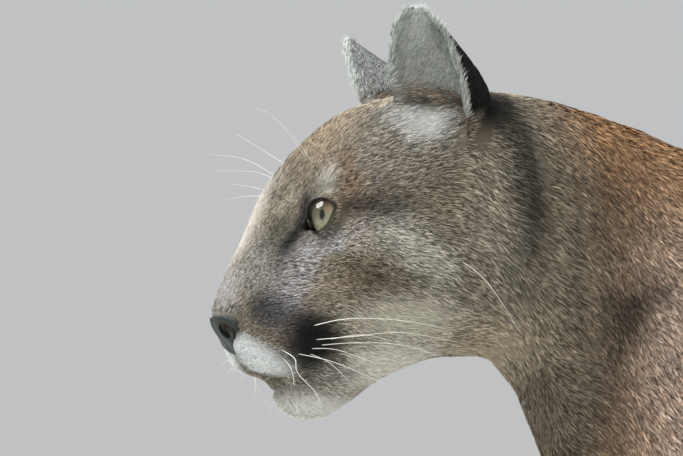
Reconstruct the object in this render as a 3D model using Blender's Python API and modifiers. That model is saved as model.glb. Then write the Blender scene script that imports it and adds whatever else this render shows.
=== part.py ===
"""A cougar at life size, standing with its head turned to its left.

The animal faces -X, +Z is up and its left side is at -Y. It is modelled whole, as masses of clay
that are joined, smoothed and sculpted, and it is then parted with thin cuts into named pieces.
Lengths are in metres. The head is shaped in its own frame: u runs back from the nose tip, y is
negative on the left as in the world, and z is the height above the chin.
"""

import math

import bmesh
import bpy
import numpy as np
from mathutils import Matrix, Vector
from mathutils.bvhtree import BVHTree

LEFT, RIGHT = -1, 1
SIDES = (("left", LEFT), ("right", RIGHT))
GAP = 0.0003
MM = 0.001

# The head's place, and how it is held
CHIN_HEIGHT = 0.570
NOSE_TIP = Vector((-0.401, -0.147, CHIN_HEIGHT))
HEAD_TURN = math.radians(34.0)
HEAD_ROLL = math.radians(3.0)
ROLL_HEIGHT = 0.120

# Fineness of the clay: voxels, points round a body, and rings along each
CLAY_VOXEL = 0.0034
RING_POINTS = 40
TRUNK_RINGS = 60
HEAD_RINGS = 40
LEG_RINGS = 36
TAIL_RINGS = 60
MASS_RINGS = 12

# Trunk, from the rump forwards: x, top, bottom, half width, height of the widest place
TRUNK = (
    (0.815, 0.590, 0.515, 0.036, 0.555),
    (0.785, 0.632, 0.470, 0.076, 0.555),
    (0.720, 0.672, 0.440, 0.104, 0.560),
    (0.630, 0.694, 0.432, 0.110, 0.560),
    (0.520, 0.692, 0.434, 0.104, 0.560),
    (0.400, 0.680, 0.410, 0.106, 0.545),
    (0.280, 0.674, 0.388, 0.116, 0.530),
    (0.150, 0.680, 0.372, 0.124, 0.520),
    (0.050, 0.700, 0.366, 0.120, 0.525),
    (-0.030, 0.726, 0.378, 0.108, 0.540),
    (-0.090, 0.755, 0.400, 0.098, 0.560),
)
# Neck, forwards: x, y, share of the head's turn, top, bottom, half width, widest height
NECK = (
    (-0.130, -0.003, 0.10, 0.773, 0.428, 0.092, 0.600),
    (-0.165, -0.011, 0.24, 0.786, 0.462, 0.090, 0.640),
    (-0.190, -0.021, 0.42, 0.794, 0.512, 0.088, 0.670),
    (-0.208, -0.031, 0.62, 0.798, 0.574, 0.086, 0.695),
    (-0.226, -0.043, 0.80, 0.800, 0.610, 0.082, 0.705),
    (-0.262, -0.064, 1.00, 0.796, 0.628, 0.074, 0.715),
)
# Legs, downwards: x, height, radius fore and aft, radius sideways
FRONT_LEG = (
    (-0.055, 0.610, 0.030, 0.010),
    (-0.050, 0.530, 0.072, 0.034),
    (-0.022, 0.430, 0.070, 0.044),
    (-0.012, 0.370, 0.060, 0.044),
    (-0.026, 0.300, 0.052, 0.042),
    (-0.040, 0.220, 0.043, 0.038),
    (-0.050, 0.155, 0.037, 0.036),
    (-0.054, 0.125, 0.038, 0.039),
    (-0.064, 0.085, 0.036, 0.040),
    (-0.078, 0.050, 0.038, 0.041),
    (-0.086, 0.022, 0.026, 0.030),
)
HIND_LEG = (
    (0.672, 0.640, 0.050, 0.012),
    (0.660, 0.560, 0.105, 0.040),
    (0.622, 0.470, 0.102, 0.048),
    (0.592, 0.395, 0.078, 0.047),
    (0.635, 0.325, 0.062, 0.041),
    (0.712, 0.255, 0.042, 0.032),
    (0.776, 0.198, 0.035, 0.030),
    (0.776, 0.140, 0.030, 0.031),
    (0.762, 0.085, 0.031, 0.034),
    (0.744, 0.050, 0.035, 0.038),
    (0.734, 0.022, 0.026, 0.028),
)
# How each leg is set: kind, side, forward step, sideways place
LEGS = (
    ("front", LEFT, -0.035, 0.070),
    ("front", RIGHT, 0.030, 0.070),
    ("hind", LEFT, 0.045, 0.068),
    ("hind", RIGHT, -0.050, 0.068),
)
# Muscles on both sides of the body: x, outwards, height, the three radii, tilt in degrees
MUSCLES = {
    "shoulder blade": (-0.052, 0.052, 0.585, 0.060, 0.050, 0.120, 28),
    "upper arm": (-0.092, 0.060, 0.500, 0.062, 0.046, 0.085, -25),
    "triceps": (-0.008, 0.062, 0.480, 0.085, 0.052, 0.095, 25),
    "thigh": (0.672, 0.062, 0.520, 0.112, 0.050, 0.130, 14),
}
# Strokes on both sides of the body: centre (x, outwards, height), radii, and depth, negative to raise
BODY_STROKES = {
    "hollow behind the shoulder": ((0.070, 0.110, 0.560), (0.045, 0.060, 0.110), 0.006),
    "hollow before the shoulder": ((-0.125, 0.085, 0.560), (0.028, 0.050, 0.090), 0.005),
    "ribs": ((0.200, 0.110, 0.500), (0.110, 0.060, 0.080), -0.005),
    "flank": ((0.500, 0.100, 0.500), (0.060, 0.060, 0.075), 0.009),
    "hip bone": ((0.640, 0.060, 0.668), (0.050, 0.035, 0.028), -0.005),
    "hollow of the rump": ((0.735, 0.085, 0.620), (0.050, 0.040, 0.045), 0.005),
    "knee": ((0.565, 0.090, 0.420), (0.028, 0.040, 0.040), -0.004),
    "hollow before the heel": ((0.742, 0.070, 0.265), (0.020, 0.040, 0.045), 0.005),
    "forearm": ((-0.050, 0.080, 0.330), (0.035, 0.040, 0.060), -0.004),
    "elbow": ((0.048, 0.085, 0.395), (0.022, 0.040, 0.030), -0.006),
    "wrist": ((-0.070, 0.075, 0.140), (0.020, 0.040, 0.024), -0.003),
}
# Tail, from its root: x, y, height, radius
TAIL = (
    (0.740, 0.000, 0.600, 0.042),
    (0.800, 0.000, 0.590, 0.038),
    (0.860, 0.002, 0.550, 0.033),
    (0.915, 0.004, 0.480, 0.030),
    (0.955, 0.004, 0.395, 0.029),
    (0.992, 0.000, 0.310, 0.029),
    (1.045, -0.008, 0.235, 0.029),
    (1.120, -0.020, 0.190, 0.029),
    (1.205, -0.034, 0.185, 0.028),
    (1.280, -0.046, 0.215, 0.025),
    (1.318, -0.052, 0.242, 0.014),
)

# The head, in millimetres: u, top, bottom, half width, widest height, roundness of the upper part
SKULL = (
    (1.5, 78, 66, 10, 71, 2.0),
    (8, 95, 57, 19, 68, 1.9),
    (16, 112, 49, 26, 64, 1.65),
    (24, 128, 40, 32, 60, 1.45),
    (34, 154, 31, 39, 57, 1.34),
    (44, 172, 27, 44, 57, 1.30),
    (56, 186, 29, 46, 60, 1.30),
    (66, 194, 32, 50, 68, 1.45),
    (80, 205, 38, 60, 84, 1.80),
    (100, 217, 44, 73, 98, 2.15),
    (130, 226, 50, 83, 104, 2.35),
    (160, 230, 52, 87, 106, 2.40),
    (190, 231, 58, 86, 114, 2.35),
    (215, 229, 74, 81, 128, 2.30),
    (235, 224, 90, 70, 140, 2.20),
)
JAW = (
    (45, 32, 15, 12, 24, 2.2),
    (50, 38, 7, 19, 22, 2.2),
    (60, 48, 1, 24, 24, 2.2),
    (75, 60, 0, 30, 30, 2.2),
    (95, 74, 10, 38, 42, 2.2),
    (115, 86, 25, 47, 56, 2.2),
    (140, 96, 37, 58, 70, 2.2),
    (165, 104, 44, 66, 80, 2.2),
    (195, 110, 45, 68, 90, 2.2),
)
# Rounded masses on both sides of the head: u, outwards, height, and the three radii
HEAD_MASSES = {
    "lip_front": (34, 10, 50, 18, 13, 20),
    "brow": (86, 29, 158, 24, 23, 19),
    "ear_root": (166, 44, 180, 40, 34, 37),
}
# Strokes on both sides of the face: centre (u, outwards, height), radii, and depth, negative to raise
FACE_STROKES = {
    "brow ridge": ((68, 36, 162), (22, 22, 11), -2.0),
    "cheekbone": ((98, 72, 112), (34, 22, 15), -4.0),
    "whisker pad": ((44, 42, 54), (19, 18, 17), -5.0),
    "front of the lip": ((18, 20, 42), (15, 13, 12), -3.0),
    "groove under the nose": ((14, 0, 40), (16, 3, 14), 1.2),
    "jowl": ((150, 84, 84), (36, 24, 30), -3.0),
    "inner corner of the eye": ((53, 24, 128), (9, 9, 12), 3.5),
    "hollow under the eye": ((72, 52, 98), (16, 14, 10), 1.5),
    "groove behind the whisker pad": ((82, 58, 52), (9, 16, 24), 2.5),
    "temple hollow": ((98, 66, 158), (20, 16, 14), 1.5),
}

# How far a hind foot's heel stands back at its step, its height, sideways set, radii and tilt
HEEL = (0.798, 0.216)
HEEL_STEP = 0.65
HEEL_RADII = (0.018, 0.017, 0.036)
HEEL_TILT = -0.5
# Each leg spreads a little on its way down
LEG_SPREAD = 0.008

# Paws: how far one lies before the leg's end, its length, and its pad as a mass
PAW_FORWARD = 0.006
PAW_LENGTH = {"front": 0.108, "hind": 0.100}
PAD_CENTRE = (0.008, 0.0, 0.028)
PAD_RADII = (0.46, 0.042, 0.036)
# Toes: step and sideways place, height, radii, and how much each turns out by its place
TOES = ((-0.022, -0.034), (-0.039, -0.0125), (-0.040, 0.0125), (-0.020, 0.034))
TOE_HEIGHT = 0.020
TOE_RADII = (0.030, 0.0150, 0.0225)
TOE_TURN = 5.0

# Fineness of the finished solids, in triangles
FACE_TRIANGLES = 2100
SKULL_TRIANGLES = 600
FEET_TRIANGLES = 1500
BODY_TRIANGLES = 4200

# Where the regions end: in the head's frame, and by height
FACE_BACK = 0.105
HEAD_BACK = 0.207
HEAD_LOWEST = 0.52
FEET_TOP = 0.20
# Where the head gives way to the body: how far back, and how far below the chin
HEAD_FADE_BACK = (0.20, 0.30)
HEAD_FADE_DOWN = (-0.02, -0.10)

# How long each region is smoothed, in passes, and how strongly
SMOOTHING_PASSES = 60
HEAD_SHARE, LEG_SHARE, PAW_SHARE = 0.40, 0.40, 0.12
LEG_FADE = (0.30, 0.42)
PAW_FADE = (0.035, 0.095)
SOFTNESS_STEPS = 40

# Eyes, in the head's frame
EYE_RADIUS = 0.0150
EYE_PLACE = (0.0784, 0.0340, 0.1385)
EYE_OUTWARD = math.radians(22.0)
LID_THICKNESS = 0.0026
# The skin lies on the lids' shell within these angles from the axis and these distances
LID_ANGLES = (math.radians(45.0), math.radians(95.0))
LID_BLEND = (0.020, 0.046)
# The opening between the lids seen along the eye's axis: outwards and up, from the inner corner
LID_OPENING = (
    (-15, -9), (-11.5, 2), (-5, 8.5), (2, 11), (8, 10.5), (12.5, 7.5), (14.4, 3),
    (13.2, -3), (9.8, -8), (3, -11.5), (-4, -12), (-10.5, -11),
)
LID_REACH = 0.030
EYE_SEGMENTS = 20

# Nose leather seen from the front: outwards and up, from the top down, and how deep it is set
NOSE_OUTLINE = ((0, 71.5), (8, 71.5), (15, 71), (21, 69), (24.5, 65), (23, 60), (18, 55.5), (12, 52),
                (6.5, 48.5), (3, 46))
NOSE_DEPTH = 0.024
NOSE_FRONT = 0.010
# Nostrils, a round hole and the slit behind it: centre (u, outwards, height) and radii
NOSTRILS = (((11, 11.5, 61), (9, 5.2, 4.8)), ((19, 20, 64), (6, 6.0, 3.2)))
NOSTRIL_RINGS = 7

# Line of the mouth on one side: u and height, from the front of the lip
MOUTH_LINE = ((46, 21.5), (52, 21), (60, 22.5), (68, 25), (77, 28.6), (87, 32.6), (96, 36))
MOUTH_FRONT = 22.0
MOUTH_RADIUS = 0.0016
# Places outside the head that its surface is looked for from
BEFORE_HEAD, BESIDE_HEAD = -0.05, 0.15

# Ears, in the head's frame: root, the way to the tip, how far the cup faces outwards, height
EAR_ROOT = (0.1425, 0.0600, 0.1990)
EAR_AXIS = (-0.235, 0.260, 0.936)
EAR_OUTWARD = math.radians(32.0)
EAR_HEIGHT = 0.0800
EAR_WALL = 0.0036
# Up the ear: share of its height, half width, depth of the back, depth of the cup
EAR_ROWS = (
    (-0.46, 0.018, 0.030, 0.010),
    (-0.22, 0.028, 0.045, 0.022),
    (0.00, 0.033, 0.054, 0.028),
    (0.20, 0.0345, 0.051, 0.028),
    (0.40, 0.0335, 0.041, 0.0245),
    (0.60, 0.0300, 0.0285, 0.0170),
    (0.78, 0.0250, 0.0175, 0.0100),
    (0.92, 0.0180, 0.0105, 0.0055),
    (1.00, 0.0100, 0.0060, 0.0024),
)
EAR_STEPS = 8
EAR_RINGS = 10

# Cuts between the pieces: a point on each, and the way it faces
NECK_CUT = ((-0.120, 0.0, 0.617), (-0.881, 0.0, 0.472))
LOIN_CUT = ((0.500, 0.0, 0.550), (1.0, 0.0, 0.0))
ELBOW_CUT = ((0.0, 0.0, 0.352), (0.0, 0.0, -1.0))
GROIN_CUT = ((0.600, 0.0, 0.405), (0.22, 0.0, -0.976))
WRIST_CUT = ((0.0, 0.0, 0.128), (0.0, 0.0, -1.0))
HOCK_CUT = ((0.0, 0.0, 0.170), (0.0, 0.0, -1.0))
FLOOR = ((0.0, 0.0, 0.0), (0.0, 0.0, 1.0))
TAIL_CUTS = (
    ((0.826, 0.0, 0.575), (0.99, 0.0, -0.14)),
    ((0.960, 0.0, 0.385), (0.38, 0.0, -0.925)),
    ((1.120, 0.0, 0.190), (1.0, 0.0, 0.0)),
)

# A point inside each piece of the body, and of each leg and paw from its own step and place
SEEDS = {
    "head": (-0.320, -0.100, 0.690),
    "neck": (-0.170, -0.010, 0.650),
    "torso": (0.200, 0.0, 0.520),
    "hindquarters": (0.660, 0.0, 0.560),
    "tail_base": (0.900, 0.0, 0.500),
    "tail_middle": (1.020, 0.0, 0.270),
    "tail_tip": (1.220, -0.040, 0.190),
}
LEG_SEED_X = {"front": -0.03, "hind": 0.70}
LEG_SEED_HEIGHT, PAW_SEED_HEIGHT = 0.25, 0.06

# Finishes by the start of a node's name: colour and roughness
FINISHES = {
    "head": ((0.210, 0.170, 0.130), 0.85),
    "neck": ((0.240, 0.160, 0.100), 0.85),
    "torso": ((0.260, 0.180, 0.120), 0.85),
    "hindquarters": ((0.260, 0.180, 0.120), 0.85),
    "tail_base": ((0.220, 0.150, 0.100), 0.85),
    "tail_middle": ((0.220, 0.150, 0.100), 0.85),
    "tail_tip": ((0.040, 0.035, 0.030), 0.85),
    "front_leg": ((0.270, 0.200, 0.140), 0.85),
    "hind_leg": ((0.270, 0.200, 0.140), 0.85),
    "front_paw": ((0.280, 0.220, 0.160), 0.85),
    "hind_paw": ((0.280, 0.220, 0.160), 0.85),
    "ear": ((0.100, 0.100, 0.090), 0.85),
    "nose": ((0.060, 0.065, 0.060), 0.45),
    "eye": ((0.220, 0.220, 0.140), 0.10),
}


def spline(xs, ys, x):
    """A smooth curve through (xs, ys) that never overshoots between its points."""
    xs, ys = np.asarray(xs, float), np.asarray(ys, float)
    steps = np.diff(xs)
    slopes = np.diff(ys) / steps
    tangents = np.zeros(len(xs))
    tangents[0], tangents[-1] = slopes[0], slopes[-1]
    for i in range(1, len(xs) - 1):
        if slopes[i - 1] * slopes[i] > 0:
            near, far = 2 * steps[i] + steps[i - 1], steps[i] + 2 * steps[i - 1]
            tangents[i] = (near + far) / (near / slopes[i - 1] + far / slopes[i])
    k = np.clip(np.searchsorted(xs, x) - 1, 0, len(steps) - 1)
    t = (x - xs[k]) / steps[k]
    bend = tangents[k] * (t**3 - 2 * t**2 + t) + tangents[k + 1] * (t**3 - t**2)
    return ys[k] + (ys[k + 1] - ys[k]) * (3 * t**2 - 2 * t**3) + steps[k] * bend


def stations(rows, count):
    """count rows read from smooth curves through the given ones, spread evenly along them."""
    rows = np.asarray(rows, float)
    places = rows[:, :3]
    along = np.concatenate([[0], np.cumsum(np.linalg.norm(np.diff(places, axis=0), axis=1))])
    at = np.linspace(0, along[-1], count)
    return np.stack([spline(along, rows[:, k], at) for k in range(rows.shape[1])], axis=1)


def smoothstep(low, high, value):
    """0 below low, 1 above high and an even passage between them; low may be the larger."""
    t = np.clip((value - low) / (high - low), 0, 1)
    return t * t * (3 - 2 * t)


def head_frame():
    """The matrix from the head's frame to the world."""
    pivot = Matrix.Translation((0, 0, ROLL_HEIGHT))
    roll = pivot @ Matrix.Rotation(-HEAD_ROLL, 4, "X") @ pivot.inverted()
    return Matrix.Translation(NOSE_TIP) @ Matrix.Rotation(HEAD_TURN, 4, "Z") @ roll


def turned(points, matrix):
    """Points taken through a 4x4 matrix."""
    matrix = np.array(matrix)
    return points @ matrix[:3, :3].T + matrix[:3, 3]


def loft(clay, rings):
    """Adds a closed body through rings that have the same number of points."""
    rows = [[clay.verts.new(point) for point in ring] for ring in rings]
    count = len(rows[0])
    for one, two in zip(rows, rows[1:]):
        for k in range(count):
            clay.faces.new((one[k - 1], one[k], two[k], two[k - 1]))
    clay.faces.new(rows[0][::-1])
    clay.faces.new(rows[-1])


def ring(centre, across, up, half_width, top, bottom, widest, above=2.2, below=2.2):
    """An egg-shaped ring in the plane of across and up, its halves above and below unlike."""
    points = []
    for k in range(RING_POINTS):
        angle = 2 * math.pi * k / RING_POINTS
        c, s = math.cos(angle), math.sin(angle)
        roundness = above if s > 0 else below
        sideways = half_width * math.copysign(abs(c) ** (2 / roundness), c)
        reach = (top - widest) if s > 0 else (widest - bottom)
        height = widest + reach * math.copysign(abs(s) ** (2 / roundness), s)
        points.append(centre + across * sideways + up * height)
    return points


def mass(clay, frame, centre, radii, tilt=0.0, turn=0.0, steps=MASS_RINGS):
    """Adds a rounded mass; tilt turns it about the sideways axis, and turn about the upright one."""
    place = Matrix.Translation(centre) @ Matrix.Rotation(turn, 4, "Z") @ Matrix.Rotation(tilt, 4, "Y")
    to_world = frame @ place @ Matrix.Diagonal((*radii, 1.0))
    circle = [math.pi * k / steps for k in range(2 * steps)]
    rings = []
    for k in range(1, steps):
        size, height = math.sin(math.pi * k / steps), -math.cos(math.pi * k / steps)
        rings.append([to_world @ Vector((size * math.cos(t), size * math.sin(t), height)) for t in circle])
    loft(clay, rings)


def limb(clay, rows, count):
    """Adds a body along a path: each row has x, y, z, radius fore and aft, radius sideways."""
    rows = stations(rows, count)
    rings = []
    for i, row in enumerate(rows):
        ahead = Vector(rows[min(i + 1, count - 1)][:3]) - Vector(rows[max(i - 1, 0)][:3])
        ahead.normalize()
        sideways = Vector((0, 1, 0))
        sideways = (sideways - ahead * sideways.dot(ahead)).normalized()
        fore = sideways.cross(ahead)
        centre = Vector(row[:3])
        rings.append(ring(centre, sideways, fore, row[4], row[3], -row[3], 0.0, 2.0, 2.0))
    loft(clay, rings)


def add_trunk(clay):
    """The trunk and the neck, as one body from the rump to inside the skull."""
    rows = [(x, 0.0, 0.0, 0.0, top, bottom, wide, mid) for x, top, bottom, wide, mid in TRUNK]
    rows += [(x, y, 0.0, turn, top, bottom, wide, mid) for x, y, turn, top, bottom, wide, mid in NECK]
    rings = []
    for x, y, _, turn, top, bottom, wide, mid in stations(rows, TRUNK_RINGS):
        across = Matrix.Rotation(turn * HEAD_TURN, 3, "Z") @ Vector((0, 1, 0))
        rings.append(ring(Vector((x, y, 0)), across, Vector((0, 0, 1)), wide, top, bottom, mid, below=2.0))
    loft(clay, rings)


def add_paw(clay, x, y, side, length):
    """A broad paw with four toes, its soles a little below the floor, where they are cut flat."""
    here = Matrix.Translation((x, y, 0))
    share, half_width, half_height = PAD_RADII
    mass(clay, here, PAD_CENTRE, (length * share, half_width, half_height))
    for step, out in TOES:
        mass(clay, here, (step, -side * out, TOE_HEIGHT), TOE_RADII, turn=-side * out * TOE_TURN)


def add_legs(clay):
    """Four legs, each stepping by its own length, on their paws."""
    for kind, side, step, out in LEGS:
        rows = FRONT_LEG if kind == "front" else HIND_LEG
        top = rows[0][1]
        path = []
        for x, z, fore, sideways in rows:
            share = (top - z) / top
            path.append((x + step * share, side * (out + LEG_SPREAD * (1 - share)), z, fore, sideways))
        limb(clay, path, LEG_RINGS)
        foot_x, foot_y = path[-1][0], path[-1][1]
        add_paw(clay, foot_x - PAW_FORWARD, foot_y, side, PAW_LENGTH[kind])
        if kind == "hind":
            heel = (HEEL[0] + step * HEEL_STEP, side * out, HEEL[1])
            mass(clay, Matrix.Identity(4), heel, HEEL_RADII, tilt=HEEL_TILT)


def add_muscles(clay):
    """Shoulders and haunches."""
    for x, out, z, *radii, tilt in MUSCLES.values():
        for _, side in SIDES:
            mass(clay, Matrix.Identity(4), (x, side * out, z), radii, tilt=math.radians(tilt))


def add_tail(clay):
    """A long tail that hangs and lifts its tip."""
    limb(clay, [(x, y, z, r, r) for x, y, z, r in TAIL], TAIL_RINGS)


def add_head(clay, frame):
    """Skull, jaw and the rounded masses of the face."""
    for table in (SKULL, JAW):
        rows = [(u, 0, 0, *sizes) for u, *sizes in table]
        rings = []
        for u, _, _, top, bottom, wide, mid, above in stations(rows, HEAD_RINGS) * MM:
            across, up = Vector((0, 1, 0)), Vector((0, 0, 1))
            points = ring(Vector((u, 0, 0)), across, up, wide, top, bottom, mid, above / MM)
            rings.append([frame @ point for point in points])
        loft(clay, rings)
    for u, out, z, *radii in HEAD_MASSES.values():
        for _, side in SIDES:
            mass(clay, frame, Vector((u, side * out, z)) * MM, Vector(radii) * MM)


def points_of(mesh):
    """The mesh's vertices as an array."""
    flat = np.empty(len(mesh.vertices) * 3)
    mesh.vertices.foreach_get("co", flat)
    return flat.reshape(-1, 3)


def set_points(mesh, points):
    """Moves the mesh's vertices."""
    mesh.vertices.foreach_set("co", np.ascontiguousarray(points).ravel())
    mesh.update()


def settle(item):
    """Applies the object's modifiers."""
    bpy.context.view_layer.update()
    graph = bpy.context.evaluated_depsgraph_get()
    old = item.data
    item.data = bpy.data.meshes.new_from_object(item.evaluated_get(graph))
    item.modifiers.clear()
    bpy.data.meshes.remove(old)


def new_object(name, mesh, collection=None):
    """An object for the mesh, in the scene or in the collection."""
    item = bpy.data.objects.new(name, mesh)
    (collection or bpy.context.scene.collection).objects.link(item)
    return item


def mesh_from(name, shape):
    """A mesh from a bmesh, which is freed."""
    mesh = bpy.data.meshes.new(name)
    shape.to_mesh(mesh)
    shape.free()
    return mesh


def set_weights(item, name, weights, steps):
    """Makes a vertex group whose weights are rounded to a few steps."""
    group = item.vertex_groups.new(name=name)
    level = np.round(np.asarray(weights, float) * steps).astype(int)
    for value in range(steps + 1):
        group.add(np.flatnonzero(level == value).tolist(), value / steps, "REPLACE")


def in_head(points):
    """The points in the head's frame, and how far each belongs to the head, from 0 to 1."""
    local = turned(points, head_frame().inverted())
    before = smoothstep(HEAD_FADE_BACK[1], HEAD_FADE_BACK[0], local[:, 0])
    share = before * smoothstep(HEAD_FADE_DOWN[1], HEAD_FADE_DOWN[0], local[:, 2])
    return local, share


def smooth_clay(clay):
    """Runs the masses into one another, gently on the head and least on the paws."""
    points = points_of(clay.data)
    _, head = in_head(points)
    legs = smoothstep(LEG_FADE[1], LEG_FADE[0], points[:, 2])
    paws = smoothstep(PAW_FADE[1], PAW_FADE[0], points[:, 2])
    share = 1 + (LEG_SHARE - 1) * legs
    share = share + (PAW_SHARE - share) * paws
    share = share + (HEAD_SHARE - share) * head
    set_weights(clay, "softness", share, SOFTNESS_STEPS)
    smooth = clay.modifiers.new("smooth", "SMOOTH")
    smooth.iterations = SMOOTHING_PASSES
    smooth.vertex_group = "softness"
    settle(clay)


def eye_axis(side):
    """The way an eye looks, in the head's frame."""
    return Vector((-math.cos(EYE_OUTWARD), side * math.sin(EYE_OUTWARD), 0.0))


def eye_centre(side):
    """The centre of an eyeball, in the head's frame."""
    u, out, z = EYE_PLACE
    return Vector((u, side * out, z))


def wrap_lids(local):
    """Draws the skin round each eye on to a shell just outside the eyeball."""
    for _, side in SIDES:
        centre = np.array(eye_centre(side))
        ray = local - centre
        reach = np.linalg.norm(ray, axis=1)
        way = ray / reach[:, None]
        facing = way @ np.array(eye_axis(side))
        hold = smoothstep(math.cos(LID_ANGLES[1]), math.cos(LID_ANGLES[0]), facing)
        hold *= smoothstep(LID_BLEND[1], LID_BLEND[0], reach)
        shell = centre + way * (EYE_RADIUS + LID_THICKNESS)
        local += (shell - local) * hold[:, None]


def press(points, normals, centre, radii, depth):
    """Sinks (or raises, with a negative depth) the surface in a soft oval on both sides."""
    for _, side in SIDES:
        away = (points - np.array([centre[0], side * centre[1], centre[2]])) / np.array(radii)
        points -= normals * (np.exp(-np.sum(away**2, axis=1)) * depth)[:, None]


def normals_of(mesh):
    """The mesh's vertex normals as an array."""
    flat = np.empty(len(mesh.vertices) * 3)
    mesh.vertex_normals.foreach_get("vector", flat)
    return flat.reshape(-1, 3)


def sculpt_body(clay):
    """The larger hollows and bulges of the body and legs, drawn into the joined clay."""
    points, normals = points_of(clay.data), normals_of(clay.data)
    _, head = in_head(points)
    moved = points.copy()
    for centre, radii, depth in BODY_STROKES.values():
        press(moved, normals, centre, radii, depth)
    set_points(clay.data, points + (moved - points) * (1 - head)[:, None])


def sculpt_head(clay):
    """The finer forms of the face, drawn into the joined clay."""
    frame = head_frame()
    points = points_of(clay.data)
    local, share = in_head(points)
    chosen = np.flatnonzero(share > 0)
    spin = np.array(frame.inverted())[:3, :3]
    normals = (normals_of(clay.data) @ spin.T)[chosen]
    face = local[chosen]
    for centre, radii, depth in FACE_STROKES.values():
        press(face, normals, np.array(centre) * MM, np.array(radii) * MM, depth * MM)
    wrap_lids(face)
    points[chosen] = turned(face, frame)
    set_points(clay.data, points)


def thin(item, chosen, triangles):
    """Reduces the chosen part of the mesh to about that many triangles, and leaves the rest."""
    mesh = item.data
    set_weights(item, "thin", chosen.astype(float), steps=1)
    corners = np.empty(len(mesh.loops), int)
    mesh.loops.foreach_get("vertex_index", corners)
    inside = chosen[corners.reshape(-1, 3)].all(axis=1).sum()
    reduce = item.modifiers.new("thin", "DECIMATE")
    reduce.vertex_group = "thin"
    reduce.vertex_group_factor = 1.0
    reduce.ratio = 1 - (inside - triangles) / len(mesh.polygons)
    settle(item)
    item.vertex_groups.clear()


def clay_body():
    """The whole animal as one smooth closed surface, thinned to a few thousand triangles."""
    masses = bmesh.new()
    add_trunk(masses)
    add_legs(masses)
    add_muscles(masses)
    add_tail(masses)
    add_head(masses, head_frame())
    clay = new_object("clay", mesh_from("clay", masses))
    join = clay.modifiers.new("join", "REMESH")
    join.mode = "VOXEL"
    join.voxel_size = CLAY_VOXEL
    settle(clay)
    smooth_clay(clay)
    sculpt_body(clay)
    sculpt_head(clay)
    return clay


def thin_body(clay):
    """Keeps the most triangles in the face and the feet."""
    clay.modifiers.new("triangles", "TRIANGULATE")
    settle(clay)
    for region, triangles in (("feet", FEET_TRIANGLES), ("skull", SKULL_TRIANGLES),
                              ("face", FACE_TRIANGLES), ("body", BODY_TRIANGLES)):
        points = points_of(clay.data)
        local, _ = in_head(points)
        back = np.where(points[:, 2] < HEAD_LOWEST, math.inf, local[:, 0])
        chosen = {
            "feet": points[:, 2] < FEET_TOP,
            "skull": (back >= FACE_BACK) & (back < HEAD_BACK),
            "face": back < FACE_BACK,
            "body": (points[:, 2] >= FEET_TOP) & (back >= HEAD_BACK),
        }[region]
        thin(clay, chosen, triangles)


def nearest_surface(shape, seed):
    """Leaves only the closed surface of the bmesh whose middle is nearest the seed."""
    shape.verts.ensure_lookup_table()
    left, best, best_away = set(shape.verts), None, math.inf
    while left:
        grown, edge = set(), [left.pop()]
        while edge:
            vert = edge.pop()
            grown.add(vert)
            for link in vert.link_edges:
                other = link.other_vert(vert)
                if other in left:
                    left.remove(other)
                    edge.append(other)
        middle = sum((vert.co for vert in grown), Vector()) / len(grown)
        if (middle - seed).length < best_away:
            best, best_away = grown, (middle - seed).length
    bmesh.ops.delete(shape, geom=[v for v in shape.verts if v not in best], context="VERTS")


def parted(source, cuts, seed):
    """The piece of the closed mesh round the seed that lies in front of every cut, closed again."""
    shape = bmesh.new()
    shape.from_mesh(source)
    for point, facing in cuts:
        facing = Vector(facing).normalized()
        margin = 0.0 if point == FLOOR[0] else GAP / 2
        everything = shape.verts[:] + shape.edges[:] + shape.faces[:]
        bmesh.ops.bisect_plane(shape, geom=everything, dist=1e-6, clear_inner=True,
                               plane_co=Vector(point) + facing * margin, plane_no=facing)
        rim = [edge for edge in shape.edges if edge.is_boundary]
        bmesh.ops.edgeloop_fill(shape, edges=rim)
        nearest_surface(shape, Vector(seed))
    bmesh.ops.recalc_face_normals(shape, faces=shape.faces[:])
    bmesh.ops.triangulate(shape, faces=shape.faces[:])
    return mesh_from("piece", shape)


def back_of(cut):
    """The same cut, facing the other way."""
    point, facing = cut
    return point, tuple(-value for value in facing)


def head_cut():
    """The upright cut behind the jaw, facing forwards."""
    frame = head_frame()
    return tuple(frame @ Vector((HEAD_BACK, 0, 0.1))), tuple(frame.to_3x3() @ Vector((-1, 0, 0)))


def body_pieces(clay):
    """The pieces of the body by name, cut from the clay."""
    head = head_cut()
    cuts = {
        "head": (head,),
        "neck": (back_of(head), NECK_CUT),
        "torso": (back_of(NECK_CUT), back_of(LOIN_CUT), back_of(ELBOW_CUT)),
        "hindquarters": (LOIN_CUT, back_of(TAIL_CUTS[0]), back_of(GROIN_CUT)),
        "tail_base": (TAIL_CUTS[0], back_of(TAIL_CUTS[1])),
        "tail_middle": (TAIL_CUTS[1], back_of(TAIL_CUTS[2])),
        "tail_tip": (TAIL_CUTS[2],),
    }
    seeds = dict(SEEDS)
    for kind, side, step, out in LEGS:
        name = "left" if side == LEFT else "right"
        top, joint = (ELBOW_CUT, WRIST_CUT) if kind == "front" else (GROIN_CUT, HOCK_CUT)
        x, y = LEG_SEED_X[kind], side * out
        cuts[f"{kind}_leg_{name}"] = (top, back_of(joint))
        seeds[f"{kind}_leg_{name}"] = (x + step / 2, y, LEG_SEED_HEIGHT)
        cuts[f"{kind}_paw_{name}"] = (joint, FLOOR)
        seeds[f"{kind}_paw_{name}"] = (x + step, y, PAW_SEED_HEIGHT)
    return {name: parted(clay.data, cuts[name], seeds[name]) for name in cuts}


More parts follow.
